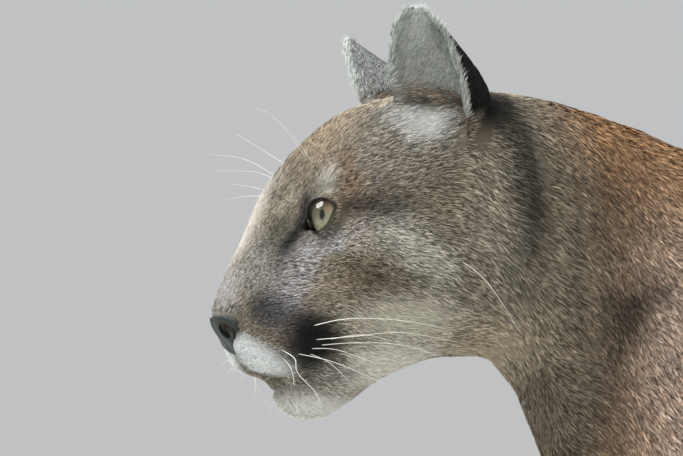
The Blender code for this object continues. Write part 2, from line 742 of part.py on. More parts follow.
def extruded(name, outline, to_world, depth):
    """A closed prism: the outline lies in the x, y plane of the matrix and is drawn out along z."""
    shape = bmesh.new()
    base = [shape.verts.new((x, y, 0)) for x, y in outline]
    face = shape.faces.new(base)
    drawn = bmesh.ops.extrude_face_region(shape, geom=[face])["geom"]
    top = [item for item in drawn if isinstance(item, bmesh.types.BMVert)]
    bmesh.ops.translate(shape, verts=top, vec=(0, 0, depth))
    bmesh.ops.transform(shape, matrix=to_world, verts=shape.verts[:])
    bmesh.ops.recalc_face_normals(shape, faces=shape.faces[:])
    return mesh_from(name, shape)


def frame_from(origin, across, up):
    """A matrix whose x is across, whose y is up and whose z completes them."""
    across, up = across.normalized(), up.normalized()
    matrix = Matrix((across, up, across.cross(up))).transposed().to_4x4()
    return Matrix.Translation(origin) @ matrix


def ball(name, radius, to_world):
    """A sphere with its pole on the matrix's z axis."""
    shape = bmesh.new()
    bmesh.ops.create_uvsphere(shape, u_segments=EYE_SEGMENTS, v_segments=EYE_SEGMENTS // 2,
                              radius=radius, matrix=to_world)
    return mesh_from(name, shape)


def grown_outline(outline, margin):
    """The outline with every point moved outwards by about the margin."""
    points = [Vector(point) for point in outline]
    middle = sum(points, Vector((0, 0))) / len(points)
    return [point + (point - middle).normalized() * margin for point in points]


def nose_block(name, margin):
    """The block that holds the nose leather, larger by the margin."""
    half = [Vector((y, z)) * MM for y, z in NOSE_OUTLINE]
    outline = half + [Vector((-point.x, point.y)) for point in half[:0:-1]]
    frame = head_frame() @ frame_from(Vector((-NOSE_FRONT, 0, 0)), Vector((0, -1, 0)), Vector((0, 0, 1)))
    return extruded(name, grown_outline(outline, margin), frame, -(NOSE_FRONT + NOSE_DEPTH + margin))


def eye_frame(side):
    """The eye's frame in the world: x is across its axis, y up, and z looks out."""
    axis = eye_axis(side)
    up = Vector((0, 0, 1))
    return head_frame() @ frame_from(eye_centre(side), up.cross(axis), up)


def mouth_tube(head, name):
    """A thin tube along the line of the mouth, from one corner round the front to the other."""
    frame = head_frame()
    inverse = frame.inverted()
    surface = BVHTree.FromPolygons([inverse @ v.co for v in head.vertices],
                                   [tuple(face.vertices) for face in head.polygons])
    front = surface.ray_cast(Vector((BEFORE_HEAD, 0, MOUTH_FRONT * MM)), Vector((1, 0, 0)))[0]
    sides = {}
    for _, side in SIDES:
        rays = [Vector((u * MM, side * BESIDE_HEAD, z * MM)) for u, z in MOUTH_LINE]
        sides[side] = [surface.ray_cast(ray, Vector((0, -side, 0)))[0] for ray in rays]
    path = sides[LEFT][::-1] + [front] + sides[RIGHT]
    curve = bpy.data.curves.new(name, "CURVE")
    curve.dimensions = "3D"
    curve.bevel_depth = MOUTH_RADIUS
    curve.bevel_resolution = 1
    curve.use_fill_caps = True
    line = curve.splines.new("POLY")
    line.points.add(len(path) - 1)
    for point, place in zip(line.points, path):
        point.co = (*(frame @ place), 1)
    item = new_object(name, curve)
    graph = bpy.context.evaluated_depsgraph_get()
    shape = bmesh.new()
    shape.from_mesh(bpy.data.meshes.new_from_object(item.evaluated_get(graph)))
    bpy.data.objects.remove(item)
    bmesh.ops.remove_doubles(shape, verts=shape.verts[:], dist=1e-5)
    return mesh_from(name, shape)


def ear_rows():
    """The ear's sizes at even steps from its root to its tip."""
    table = np.array(EAR_ROWS)
    at = np.linspace(table[0, 0], 1.0, EAR_RINGS)
    return np.stack([at] + [spline(table[:, 0], table[:, k], at) for k in (1, 2, 3)], axis=1)


def ear_mesh(side):
    """A cupped ear: a bent wall from its inner edge round the back to its outer edge."""
    axis = Vector((EAR_AXIS[0], side * EAR_AXIS[1], EAR_AXIS[2])).normalized()
    root = Vector((EAR_ROOT[0], side * EAR_ROOT[1], EAR_ROOT[2]))
    facing = Vector((-math.cos(EAR_OUTWARD), side * math.sin(EAR_OUTWARD), 0))
    facing = (facing - axis * facing.dot(axis)).normalized()
    outwards = axis.cross(facing) * side
    frame = head_frame()
    rings = []
    for share, half, back, cup in ear_rows():
        centre = root + axis * (share * EAR_HEIGHT)
        angles = [math.pi * k / EAR_STEPS for k in range(EAR_STEPS + 1)]
        outer = [(-half * math.cos(t), -back * math.sin(t)) for t in angles]
        inner = [(-(half - EAR_WALL) * math.cos(t), -cup * math.sin(t)) for t in reversed(angles)]
        rings.append([frame @ (centre + outwards * x + facing * y) for x, y in outer + inner])
    shape = bmesh.new()
    loft(shape, rings)
    bmesh.ops.recalc_face_normals(shape, faces=shape.faces[:])
    bmesh.ops.triangulate(shape, faces=shape.faces[:])
    return mesh_from("ear", shape)


def nostril(name, side, centre, radii):
    """A rounded cutter for a nostril or the slit behind it."""
    hole = bmesh.new()
    u, out, z = centre
    mass(hole, head_frame(), Vector((u, side * out, z)) * MM, Vector(radii) * MM,
         steps=NOSTRIL_RINGS)
    bmesh.ops.recalc_face_normals(hole, faces=hole.faces[:])
    return mesh_from(name, hole)


def cut(item, cutter, operation="DIFFERENCE"):
    """Adds a Boolean cut to the object."""
    step = item.modifiers.new(cutter.name, "BOOLEAN")
    step.operation = operation
    step.object = cutter


def make_cutter(name, mesh, collection):
    """A cutter object, left out of renders."""
    cutter = new_object(name, mesh, collection)
    cutter.hide_render = True
    cutter.display_type = "WIRE"
    return cutter


def inflated(mesh, name):
    """A copy of the mesh that is larger by the gap all over."""
    larger = mesh.copy()
    larger.name = name
    set_points(larger, points_of(mesh) + normals_of(mesh) * GAP)
    return larger


def only_largest(item):
    """Applies the cuts and drops any scrap that they leave."""
    settle(item)
    shape = bmesh.new()
    shape.from_mesh(item.data)
    middle = sum((v.co for v in shape.verts), Vector()) / len(shape.verts)
    nearest_surface(shape, middle)
    shape.to_mesh(item.data)
    shape.free()


def material(node):
    """The node's own material, in the finish that the start of its name gives."""
    colour, roughness = next(finish for start, finish in FINISHES.items() if node.startswith(start))
    made = bpy.data.materials.new(node)
    made.use_nodes = True
    surface = made.node_tree.nodes["Principled BSDF"]
    surface.inputs["Base Color"].default_value = (*colour, 1)
    surface.inputs["Roughness"].default_value = roughness
    surface.inputs["Metallic"].default_value = 0.0
    return made


def main():
    """Builds the animal."""
    for old in list(bpy.data.objects):
        bpy.data.objects.remove(old)
    cougar = bpy.data.collections.new("cougar")
    cutters = bpy.data.collections.new("cutters")
    for collection in (cougar, cutters):
        bpy.context.scene.collection.children.link(collection)
    clay = clay_body()
    thin_body(clay)
    pieces = body_pieces(clay)
    items = {name: new_object(name, mesh, cougar) for name, mesh in pieces.items()}
    bpy.data.objects.remove(clay)
    head = items["head"]
    full_head = head.data.copy()
    items["nose"] = new_object("nose", full_head.copy(), cougar)
    block = make_cutter("nose_block", nose_block("nose_block", 0.0), cutters)
    recess = make_cutter("nose_recess", nose_block("nose_recess", GAP), cutters)
    mouth = make_cutter("mouth_line", mouth_tube(full_head, "mouth_line"), cutters)
    swollen = make_cutter("swollen_head", inflated(full_head, "swollen_head"), cutters)
    cut(items["nose"], block, "INTERSECT")
    cut(head, recess)
    cut(head, mouth)
    for name, side in SIDES:
        frame = eye_frame(side)
        socket = make_cutter(f"socket_{name}", ball(f"socket_{name}", EYE_RADIUS + GAP, frame), cutters)
        outline = [Vector((side * x, y)) * MM for x, y in LID_OPENING]
        slit = extruded(f"lids_{name}", outline, frame, LID_REACH)
        opening = make_cutter(f"lids_{name}", slit, cutters)
        cut(head, socket)
        cut(head, opening)
        items[f"eye_{name}"] = new_object(f"eye_{name}", ball("eye", EYE_RADIUS, frame), cougar)
        ear = items[f"ear_{name}"] = new_object(f"ear_{name}", ear_mesh(side), cougar)
        cut(ear, swollen)
        only_largest(ear)
        for centre, radii in NOSTRILS:
            label = f"nostril_{name}_{centre[0]}"
            hole = make_cutter(label, nostril(label, side, centre, radii), cutters)
            cut(items["nose"], hole)
            cut(head, hole)
    only_largest(head)
    only_largest(items["nose"])
    corners = np.concatenate([points_of(item.data) for item in items.values()])
    middle = (corners.min(axis=0) + corners.max(axis=0)) / 2
    for item in [*items.values(), *cutters.objects]:
        item.location = (-middle[0], -middle[1], 0.0)
    for name, item in items.items():
        item.data.name = name
        item.data.materials.append(material(name))


if __name__ == "__main__":
    main()
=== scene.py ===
"""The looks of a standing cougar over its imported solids.

One skin is drawn inside the flesh, a short coat of thin mesh tufts lies along it, and the eyes, lids,
nose leather and whiskers are pieces of their own. The head is dressed in its own frame: u runs back
from the nose tip, out is the distance from its middle plane, and z is the height above the chin.
"""

import logging
import math
from dataclasses import dataclass, field
from enum import Enum

import bpy
import numpy as np
from mathutils import Matrix, Vector
from mathutils.bvhtree import BVHTree


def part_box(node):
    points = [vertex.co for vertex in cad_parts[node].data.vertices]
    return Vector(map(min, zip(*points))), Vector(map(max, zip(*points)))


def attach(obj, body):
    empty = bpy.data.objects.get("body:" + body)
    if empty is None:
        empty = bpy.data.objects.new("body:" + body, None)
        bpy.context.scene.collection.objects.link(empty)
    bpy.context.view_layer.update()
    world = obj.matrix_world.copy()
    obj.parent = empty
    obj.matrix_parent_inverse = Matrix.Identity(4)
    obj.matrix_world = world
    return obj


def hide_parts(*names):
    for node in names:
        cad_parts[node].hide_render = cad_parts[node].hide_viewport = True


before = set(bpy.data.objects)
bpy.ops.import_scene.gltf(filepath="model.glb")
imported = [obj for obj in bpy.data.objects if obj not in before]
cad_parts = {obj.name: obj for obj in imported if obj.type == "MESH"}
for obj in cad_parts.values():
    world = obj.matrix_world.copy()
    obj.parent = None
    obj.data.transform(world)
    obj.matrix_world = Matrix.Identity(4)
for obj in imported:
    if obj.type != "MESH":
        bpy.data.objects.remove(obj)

LOG = logging.getLogger("cougar")
MM = 0.001
BODY = "root"
Array = np.ndarray
Paths = tuple[tuple[tuple[float, float, float], ...], ...]

# Where the head gives way to the neck, along its axis, and to the throat, in height, in metres
NECK_BLEND, THROAT_BLEND = (0.265, 0.205), (-0.075, -0.015)
# The top of the skull between the ears and how it falls away outwards, in mm
SKULL_TOP, SKULL_FLAT, SKULL_FALL, SKULL_BEND = 229.0, 20.0, 0.16, 1.28


class Side(Enum):
    """The two sides of the animal, by the sign of y."""

    LEFT = -1
    RIGHT = 1

    @property
    def word(self) -> str:
        """The side's name as the solids carry it."""
        return self.name.lower()

    @property
    def hand(self) -> int:
        """1 where a shape is used as it is given, -1 where it is mirrored."""
        return -self.value


def smoothstep(low: float, high: float, value: Array) -> Array:
    """An even passage from 0 at low to 1 at high; low may be the larger."""
    t = np.clip((value - low) / (high - low), 0.0, 1.0)
    return t * t * (3.0 - 2.0 * t)


def unit(vectors: Array) -> Array:
    """The vectors at length one."""
    return vectors / np.maximum(np.linalg.norm(vectors, axis=1, keepdims=True), 1e-9)


def linear(red: int, green: int, blue: int) -> Array:
    """A colour given in screen values as the shader reads it."""
    screen = np.array([red, green, blue]) / 255.0
    return np.where(screen <= 0.04045, screen / 12.92, ((screen + 0.055) / 1.055) ** 2.4)


def turned(points: Array, matrix: Matrix) -> Array:
    """Points taken through a 4x4 matrix."""
    full = np.array(matrix)
    return points @ full[:3, :3].T + full[:3, 3]


def points_of(mesh: bpy.types.Mesh) -> Array:
    """The mesh's vertices."""
    flat = np.empty(len(mesh.vertices) * 3)
    mesh.vertices.foreach_get("co", flat)
    return flat.reshape(-1, 3)


def normals_of(mesh: bpy.types.Mesh) -> Array:
    """The mesh's vertex normals."""
    flat = np.empty(len(mesh.vertices) * 3)
    mesh.vertex_normals.foreach_get("vector", flat)
    return flat.reshape(-1, 3)


def set_points(mesh: bpy.types.Mesh, points: Array) -> None:
    """Moves the mesh's vertices."""
    mesh.vertices.foreach_set("co", np.ascontiguousarray(points, dtype=np.float32).ravel())
    mesh.update()


def only(*items: bpy.types.Object) -> None:
    """Selects just these objects and makes the first one active."""
    bpy.ops.object.select_all(action="DESELECT")
    for item in items:
        item.select_set(True)
    bpy.context.view_layer.objects.active = items[0]


def apply_all(item: bpy.types.Object) -> None:
    """Applies the object's modifiers in order."""
    only(item)
    for step in list(item.modifiers):
        bpy.ops.object.modifier_apply(modifier=step.name)


def new_piece(name: str, mesh: bpy.types.Mesh) -> bpy.types.Object:
    """An object for the mesh, in the scene."""
    item = bpy.data.objects.new(name, mesh)
    bpy.context.scene.collection.objects.link(item)
    return item


def corners_of(mesh: bpy.types.Mesh) -> Array:
    """The vertex numbers at the corners of each triangle."""
    flat = np.empty(len(mesh.loops), int)
    mesh.loops.foreach_get("vertex_index", flat)
    return flat.reshape(-1, 3)


def outward(item: bpy.types.Object) -> bpy.types.Object:
    """Turns the faces of a piece outward and gives the piece back."""
    only(item)
    bpy.ops.object.mode_set(mode="EDIT")
    bpy.ops.mesh.select_all(action="SELECT")
    bpy.ops.mesh.normals_make_consistent(inside=False)
    bpy.ops.object.mode_set(mode="OBJECT")
    return item


def run_together(item: bpy.types.Object, voxel: float) -> None:
    """Makes one closed surface, with faces of about the voxel's size, of all that a piece holds."""
    weld = item.modifiers.new("weld", "WELD")
    weld.merge_threshold = 1e-6
    join = item.modifiers.new("join", "REMESH")
    join.mode = "VOXEL"
    join.voxel_size = voxel
    apply_all(item)


def finished(item: bpy.types.Object, material: bpy.types.Material, slot: str, *nodes: str) -> None:
    """Dresses a piece, sets it on the body and hides the solids that it replaces.

    Args:
        item: The piece.
        material: Its finish.
        slot: A material slot's name; not used.
        nodes: The solids that it replaces.
    """
    item.data.materials.clear()
    item.data.materials.append(material)
    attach(item, BODY)
    if nodes:
        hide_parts(*nodes)
    LOG.info("%s: %d faces", item.name, len(item.data.polygons))


@dataclass(frozen=True)
class Head:
    """The head's own frame, found from the solids of the eyes."""

    turn: float = math.radians(34.0)
    roll: float = math.radians(3.0)
    roll_height: float = 0.120
    eye: tuple[float, float, float] = (0.0784, 0.0340, 0.1385)
    eye_radius: float = 0.0150
    eye_outward: float = math.radians(22.0)
    nose_in_body: tuple[float, float, float] = (-0.401, -0.147, 0.570)

    def matrix(self) -> Matrix:
        """From the head's frame to the world."""
        pivot = Matrix.Translation((0, 0, self.roll_height))
        spin = (Matrix.Rotation(self.turn, 4, "Z") @ pivot @ Matrix.Rotation(-self.roll, 4, "X")
                @ pivot.inverted())
        corners = [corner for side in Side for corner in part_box(f"eye_{side.word}")]
        between = sum(corners, Vector()) / len(corners)
        return Matrix.Translation(between - spin @ Vector((self.eye[0], 0, self.eye[2]))) @ spin

    def body_shift(self) -> Vector:
        """From the frame that the body's places are given in to the world."""
        return self.nose() - Vector(self.nose_in_body)

    def nose(self) -> Vector:
        """The foot of the head's axis in the world, level with the chin under the nose."""
        return self.matrix() @ Vector((0, 0, self.roll_height)) - Vector((0, 0, self.roll_height))

    def eye_centre(self, side: Side) -> Vector:
        """The centre of an eyeball in the head's frame."""
        return Vector((self.eye[0], side.value * self.eye[1], self.eye[2]))

    def eye_axis(self, side: Side) -> Vector:
        """The way an eye looks in the head's frame."""
        return Vector((-math.cos(self.eye_outward), side.value * math.sin(self.eye_outward), 0.0))

    def eye_frame(self, side: Side) -> Matrix:
        """The eye's frame in the world: x away from the nose, y up, z the way it looks."""
        axis, up = self.eye_axis(side), Vector((0, 0, 1))
        across = up.cross(axis)
        turn = Matrix((across, up, axis)).transposed().to_4x4()
        return self.matrix() @ Matrix.Translation(self.eye_centre(side)) @ turn


@dataclass(frozen=True)
class Spot:
    """A soft oval place, alike on both sides: centre and radii along, outwards and up."""

    centre: tuple[float, float, float]
    radii: tuple[float, float, float]
    edge: float = 1.0

    def share(self, places: Array) -> Array:
        """How far each place belongs to the spot, from 0 to 1."""
        away = np.sum(((places - self.centre) / self.radii) ** 2, axis=1)
        return np.exp(-(away**self.edge))


@dataclass(frozen=True)
class Streak:
    """A soft stroke between two places, alike on both sides."""

    start: tuple[float, float, float]
    end: tuple[float, float, float]
    radius: float
    edge: float = 1.5

    def share(self, places: Array) -> Array:
        """How far each place belongs to the streak, from 0 to 1."""
        start, along = np.array(self.start), np.subtract(self.end, self.start)
        t = np.clip((places - start) @ along / (along @ along), 0.0, 1.0)
        away = np.sum((places - start - t[:, None] * along) ** 2, axis=1) / self.radius**2
        return np.exp(-(away**self.edge))


class Places:
    """Points on the animal, in the world, in the body's frame and in the head's frame."""

    def __init__(self, head: Head, world: Array, normals: Array) -> None:
        """Works out the frames' coordinates.

        Args:
            head: The head's frame.
            world: The points.
            normals: The surface's normals there.
        """
        self.world, self.normals = world, normals
        self.body = world - np.array(head.body_shift())
        self.sides = self.body.copy()
        self.sides[:, 1] = np.abs(self.sides[:, 1])
        inverse = head.matrix().inverted()
        self.local = turned(world, inverse)
        self.face = self.local * (1 / MM)
        self.face[:, 1] = np.abs(self.face[:, 1])
        before = smoothstep(*NECK_BLEND, self.local[:, 0])
        self.in_head = before * smoothstep(*THROAT_BLEND, self.local[:, 2])

    def ear(self) -> Array:
        """How far each point belongs to an ear standing clear of the skull."""
        skull_top = SKULL_TOP - SKULL_FALL * np.maximum(self.face[:, 1] - SKULL_FLAT, 0.0) ** SKULL_BEND
        over = smoothstep(2.0, 9.0, self.face[:, 2] - skull_top)
        return over * self.in_head * smoothstep(100.0, 108.0, self.face[:, 0])


def set_weights(item: bpy.types.Object, name: str, weights: Array, steps: int = 40) -> None:
    """Makes a vertex group whose weights are rounded to a few steps."""
    group = item.vertex_groups.new(name=name)
    level = np.round(weights * steps).astype(int)
    for value in range(1, steps + 1):
        group.add(np.flatnonzero(level == value).tolist(), value / steps, "REPLACE")


@dataclass(frozen=True)
class Stroke:
    """A touch of the sculptor's thumb: a soft place, sunk by a depth in mm, or raised by a negative one."""

    spot: Spot | Streak
    depth: float


FACE_STROKES = {
    "upper lid's fold": Stroke(Spot((72, 44, 158), (14, 15, 3.5)), 1.6),
    "brow over the eye": Stroke(Spot((68, 40, 166), (16, 20, 8)), -1.5),
    "tear furrow": Stroke(Streak((58, 28, 130), (45, 26, 112), 4.0), 1.8),
    "hollow under the eye": Stroke(Spot((70, 50, 112), (12, 14, 5)), 1.2),
    "whisker rows": Stroke(Spot((52, 46, 60), (13, 14, 14)), -1.2),
    "under the whisker pad": Stroke(Spot((66, 48, 36), (12, 12, 6)), 1.2),
    "crease behind the jaw": Stroke(Spot((211, 74, 90), (9, 40, 42)), 1.5),
    "crease behind the cheek": Stroke(Spot((215, 84, 160), (9, 40, 50)), 2.0),
    "ruff before the crease": Stroke(Spot((192, 84, 140), (13, 30, 60)), -4.0),
    "under the nose": Stroke(Spot((12, 0, 40), (14, 2.2, 13)), 0.9),
}


@dataclass
class Skin:
    """The bare skin: the flesh solids joined, smoothed and drawn in by the coat's depth."""

    head: Head
    nodes: tuple[str, ...]
    voxel: float = 0.0024
    passes: int = 36
    face_share: float = 0.25
    ear_share: float = 0.05
    body_triangles: int = 60000
    shell: float = 0.0176
    opening: tuple[tuple[float, float], ...] = (
        (-15, -9), (-11.5, 2), (-5, 8.5), (2, 11), (8, 10.5), (12.5, 7.5), (14.4, 3),
        (13.2, -3), (9.8, -8), (3, -11.5), (-4, -12), (-10.5, -11),
    )
    mouth: tuple[tuple[float, float], ...] = (
        (0, 22), (46, 21.5), (52, 21), (60, 22.5), (68, 25), (77, 28.6), (87, 32.6), (96, 36),
    )
    fine_reach: float = 0.027
    cut: tuple[float, float] = (0.003, 0.040)
    item: bpy.types.Object = field(init=False)
    rims: dict[Side, Array] = field(default_factory=dict)

    def build(self) -> bpy.types.Object:
        """Makes the skin.

        Returns:
            The skin, a closed mesh.
        """
        self._join()
        self._smooth()
        self._refine()
        self._sculpt()
        self._thin()
        self._open_eyes()
        self._unwrap()
        return self.item

    def _join(self) -> None:
        """Runs the solids into one closed surface."""
        copies = []
        for node in self.nodes:
            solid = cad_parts[node]
            copies.append(new_piece(f"copy_{node}", solid.data.copy()))
        only(*copies)
        bpy.ops.object.join()
        self.item = bpy.context.view_layer.objects.active
        self.item.name = self.item.data.name = "skin"
        self.item.data.materials.clear()
        run_together(self.item, self.voxel)

    def _places(self) -> Places:
        """The skin's points in all frames."""
        return Places(self.head, points_of(self.item.data), normals_of(self.item.data))

    def _smooth(self) -> None:
        """Takes the facets off, gently on the face and hardly at all on the ears."""
        here = self._places()
        share = 1.0 + (self.face_share - 1.0) * here.in_head
        share += (self.ear_share - share) * here.ear()
        share += (0.25 - share) * smoothstep(0.09, 0.05, here.world[:, 2])
        set_weights(self.item, "softness", share)
        step = self.item.modifiers.new("smooth", "SMOOTH")
        step.iterations = self.passes
        step.vertex_group = "softness"
        apply_all(self.item)
        self.item.vertex_groups.clear()

    def _refine(self) -> None:
        """Halves the mesh on the face, and again round the eyes, and eases the new points."""
        for near_eyes in (False, True):
            here = self._places()
            if near_eyes:
                chosen = np.zeros(len(here.world), bool)
                for side in Side:
                    away = np.linalg.norm(here.local - np.array(self.head.eye_centre(side)), axis=1)
                    chosen |= away < self.fine_reach
            else:
                chosen = (here.in_head > 0.5) & (here.face[:, 0] < 108)
            item, mesh = self.item, self.item.data
            only(item)
            bpy.context.tool_settings.mesh_select_mode = (True, False, False)
            bpy.ops.object.mode_set(mode="EDIT")
            bpy.ops.mesh.select_all(action="DESELECT")
            bpy.ops.object.mode_set(mode="OBJECT")
            mesh.vertices.foreach_set("select", chosen)
            bpy.ops.object.mode_set(mode="EDIT")
            bpy.ops.mesh.select_mode(type="FACE")
            bpy.ops.mesh.subdivide(number_cuts=1)
            bpy.ops.mesh.vertices_smooth(factor=0.5, repeat=4)
            bpy.ops.mesh.select_mode(type="VERT")
            bpy.ops.object.mode_set(mode="OBJECT")

    def _sculpt(self) -> None:
        """Draws the surface in by the coat's depth and adds the folds of the face."""
        here = self._places()
        moved = here.world - here.normals * coat_depth(here)[:, None]
        spin = np.array(self.head.matrix().to_3x3())
        normals = here.normals @ spin
        face = turned(moved, self.head.matrix().inverted())
        for stroke in FACE_STROKES.values():
            face -= normals * (stroke.spot.share(here.face) * stroke.depth * MM * here.in_head)[:, None]
        groove = np.exp(-((path_distance(here.face[:, [0, 2]], self.mouth) / 1.8) ** 2))
        groove *= here.in_head * smoothstep(104, 94, here.face[:, 0]) * (here.face[:, 2] < 60)
        face -= normals * (groove * 1.6 * MM)[:, None]
        for side in Side:
            centre = np.array(self.head.eye_centre(side))
            ray = face - centre
            reach = np.linalg.norm(ray, axis=1)
            way = ray / reach[:, None]
            facing = way @ np.array(self.head.eye_axis(side))
            hold = smoothstep(math.cos(math.radians(88)), math.cos(math.radians(50)), facing)
            hold *= smoothstep(0.036, 0.0195, reach)
            face += (centre + way * self.shell - face) * hold[:, None]
            ray = face - centre
            reach = np.linalg.norm(ray, axis=1)
            way = ray / reach[:, None]
            least = self.shell - 0.0016 + 0.0016 * smoothstep(0.1, 0.7, facing)
            push = np.maximum(least - reach, 0.0) * smoothstep(-0.35, -0.05, facing)
            face += way * push[:, None]
        set_points(self.item.data, turned(face, self.head.matrix()))

    def _thin(self) -> None:
        """Keeps the finest mesh on the head, and fewer triangles behind it."""
        self.item.modifiers.new("triangles", "TRIANGULATE")
        apply_all(self.item)
        here = self._places()
        chosen = here.in_head < 0.5
        mesh = self.item.data
        inside = int(chosen[corners_of(mesh)].all(axis=1).sum())
        set_weights(self.item, "body", chosen.astype(float), steps=1)
        step = self.item.modifiers.new("thin", "DECIMATE")
        step.vertex_group = "body"
        step.vertex_group_factor = 1.0
        step.ratio = 1.0 - (inside - self.body_triangles) / len(mesh.polygons)
        apply_all(self.item)
        self.item.vertex_groups.clear()
        bpy.ops.object.shade_smooth()

    def rim(self, side: Side, count: int = 72) -> Array:
        """The edge of the opening between the lids, in the eye's frame, in metres."""
        outline = np.array([(side.hand * x, y) for x, y in self.opening]) * MM
        return closed_curve(outline, count)

    def _open_eyes(self) -> None:
        """Cuts the openings between the lids down into the eyeballs."""
        for side in Side:
            eye = self.head.eye_frame(side)
            points = turned(points_of(self.item.data), eye.inverted())
            near = np.flatnonzero((np.linalg.norm(points[:, :2], axis=1) < 0.024) & (points[:, 2] > 0.0))
            self.rims[side] = self._heights(points, near, self.rim(side))
            cutter = self._cutter(side)
            cut = self.item.modifiers.new("opening", "BOOLEAN")
            cut.operation, cut.solver, cut.object = "DIFFERENCE", "MANIFOLD", cutter
            before = len(self.item.data.vertices)
            apply_all(self.item)
            LOG.info("opening %s: %d points more", side.word, len(self.item.data.vertices) - before)
            bpy.data.objects.remove(cutter)
        self.item.modifiers.new("triangles", "TRIANGULATE")
        apply_all(self.item)
        only(self.item)
        bpy.ops.object.shade_smooth()

    def _cutter(self, side: Side) -> bpy.types.Object:
        """A prism with the outline of an eye's opening, along the way it looks."""
        edge = self.rim(side, 120)
        count = len(edge)
        rings = [np.column_stack([edge, np.full(count, height)]) for height in self.cut]
        ends = np.array([[0.0, 0.0, height] for height in self.cut])
        here = np.arange(count)
        after = np.roll(here, -1)
        faces = np.concatenate([
            np.column_stack([here, after, after + count]),
            np.column_stack([here, after + count, here + count]),
            np.column_stack([after, here, np.full(count, 2 * count)]),
            np.column_stack([here + count, after + count, np.full(count, 2 * count + 1)]),
        ])
        points = turned(np.concatenate([*rings, ends]), self.head.eye_frame(side))
        return outward(new_piece("cutter", mesh_of("cutter", points, faces)))

    def _heights(self, points: Array, near: Array, edge: Array) -> Array:
        """The edge of the opening brought on to the skin, in the eye's frame."""
        nearby = np.zeros(len(points), bool)
        nearby[near] = True
        corners = corners_of(self.item.data)
        tree = BVHTree.FromPolygons(points.tolist(), corners[nearby[corners].all(axis=1)].tolist())
        raised = []
        for x, y in edge:
            hit, _, _, _ = tree.ray_cast(Vector((x, y, 0.05)), Vector((0, 0, -1)))
            raised.append((x, y, hit.z if hit else self.head.eye_radius * 0.7))
        return np.array(raised)

    def bare(self, nose: bpy.types.Object) -> Array:
        """Which of the skin's points grow no hair: in the eyes' openings and under the nose leather."""
        points = points_of(self.item.data)
        bald = np.zeros(len(points), bool)
        for side in Side:
            own = turned(points, self.head.eye_frame(side).inverted())
            inner = inside_outline(own[:, :2], self.rim(side, 240) * 1.01)
            bald |= inner & (own[:, 2] > 0.0) & (np.linalg.norm(own, axis=1) < 0.030)
        here = Places(self.head, points, normals_of(self.item.data))
        tree = BVHTree.FromPolygons([tuple(vertex.co) for vertex in nose.data.vertices],
                                    [tuple(face.vertices) for face in nose.data.polygons])
        for number in np.flatnonzero((here.face[:, 0] < 45) & (here.in_head > 0.5)):
            place = Vector(points[number])
            near, normal, _, away = tree.find_nearest(place)
            bald[number] |= away < 0.0010 or ((place - near).dot(normal) < 0 and away < 0.0022)
        return bald

    def _unwrap(self) -> None:
        """Unwraps the skin's own shape, for its colours and for the tufts' places on it."""
        only(self.item)
        bpy.ops.object.mode_set(mode="EDIT")
        bpy.ops.mesh.select_all(action="SELECT")
        bpy.ops.uv.smart_project(angle_limit=math.radians(66), island_margin=0.001)
        bpy.ops.object.mode_set(mode="OBJECT")
        self.item.data.uv_layers.active.name = "OFBake"


def path_distance(points: Array, path: tuple) -> Array:
    """The distance of each flat point from an open path."""
    best = np.full(len(points), np.inf)
    for start, end in zip(np.array(path, float), np.array(path, float)[1:]):
        along = end - start
        t = np.clip(((points - start) @ along) / (along @ along), 0.0, 1.0)
        best = np.minimum(best, np.linalg.norm(points - start - t[:, None] * along, axis=1))
    return best


def bent(four: list[Array], t: Array) -> Array:
    """The points at t between the middle two of each four, on a smooth curve through them all."""
    before, here, after, beyond = four
    bend = (2 * here + (after - before) * t + (2 * before - 5 * here + 4 * after - beyond) * t**2
            + (3 * here - before - 3 * after + beyond) * t**3)
    return bend / 2


def closed_curve(outline: Array, count: int) -> Array:
    """Points at even steps on a smooth closed curve through the outline."""
    steps = np.arange(count) * len(outline) / count
    index = steps.astype(int)
    t = (steps - index)[:, None]
    return bent([outline[(index + k) % len(outline)] for k in (-1, 0, 1, 2)], t)


def inside_outline(points: Array, outline: Array) -> Array:
    """Which flat points lie inside a closed outline."""
    inside = np.zeros(len(points), bool)
    for one, two in zip(outline, np.roll(outline, -1, axis=0)):
        crosses = (one[1] > points[:, 1]) != (two[1] > points[:, 1])
        slope = (two[0] - one[0]) / (two[1] - one[1] + 1e-12)
        inside ^= crosses & (points[:, 0] < one[0] + slope * (points[:, 1] - one[1]))
    return inside


@dataclass(frozen=True)
class Amount:
    """A value that a soft place takes."""

    spot: Spot
    value: float


HEAD_LENGTHS = (
    Amount(Spot((25, 10, 110), (34, 30, 50), 2.0), 3.4),
    Amount(Spot((30, 25, 45), (34, 34, 32), 2.0), 3.6),
    Amount(Spot((65, 30, 140), (26, 28, 26), 2.0), 3.2),
    Amount(Spot((70, 20, 195), (34, 44, 26), 1.5), 4.6),
    Amount(Spot((55, 0, 8), (24, 34, 20), 1.5), 5.5),
    Amount(Spot((150, 84, 84), (44, 40, 44), 1.5), 8.0),
    Amount(Spot((195, 80, 130), (30, 60, 80), 1.5), 9.0),
)
BODY_LENGTHS = (
    Amount(Spot((-0.16, 0.0, 0.62), (0.12, 0.30, 0.30), 2.0), 9.5),
    Amount(Spot((-0.13, 0.0, 0.44), (0.10, 0.10, 0.10), 1.5), 16.0),
    Amount(Spot((0.30, 0.0, 0.38), (0.40, 0.09, 0.05), 1.5), 23.0),
    Amount(Spot((0.62, 0.0, 0.42), (0.10, 0.05, 0.06), 1.5), 22.0),
)


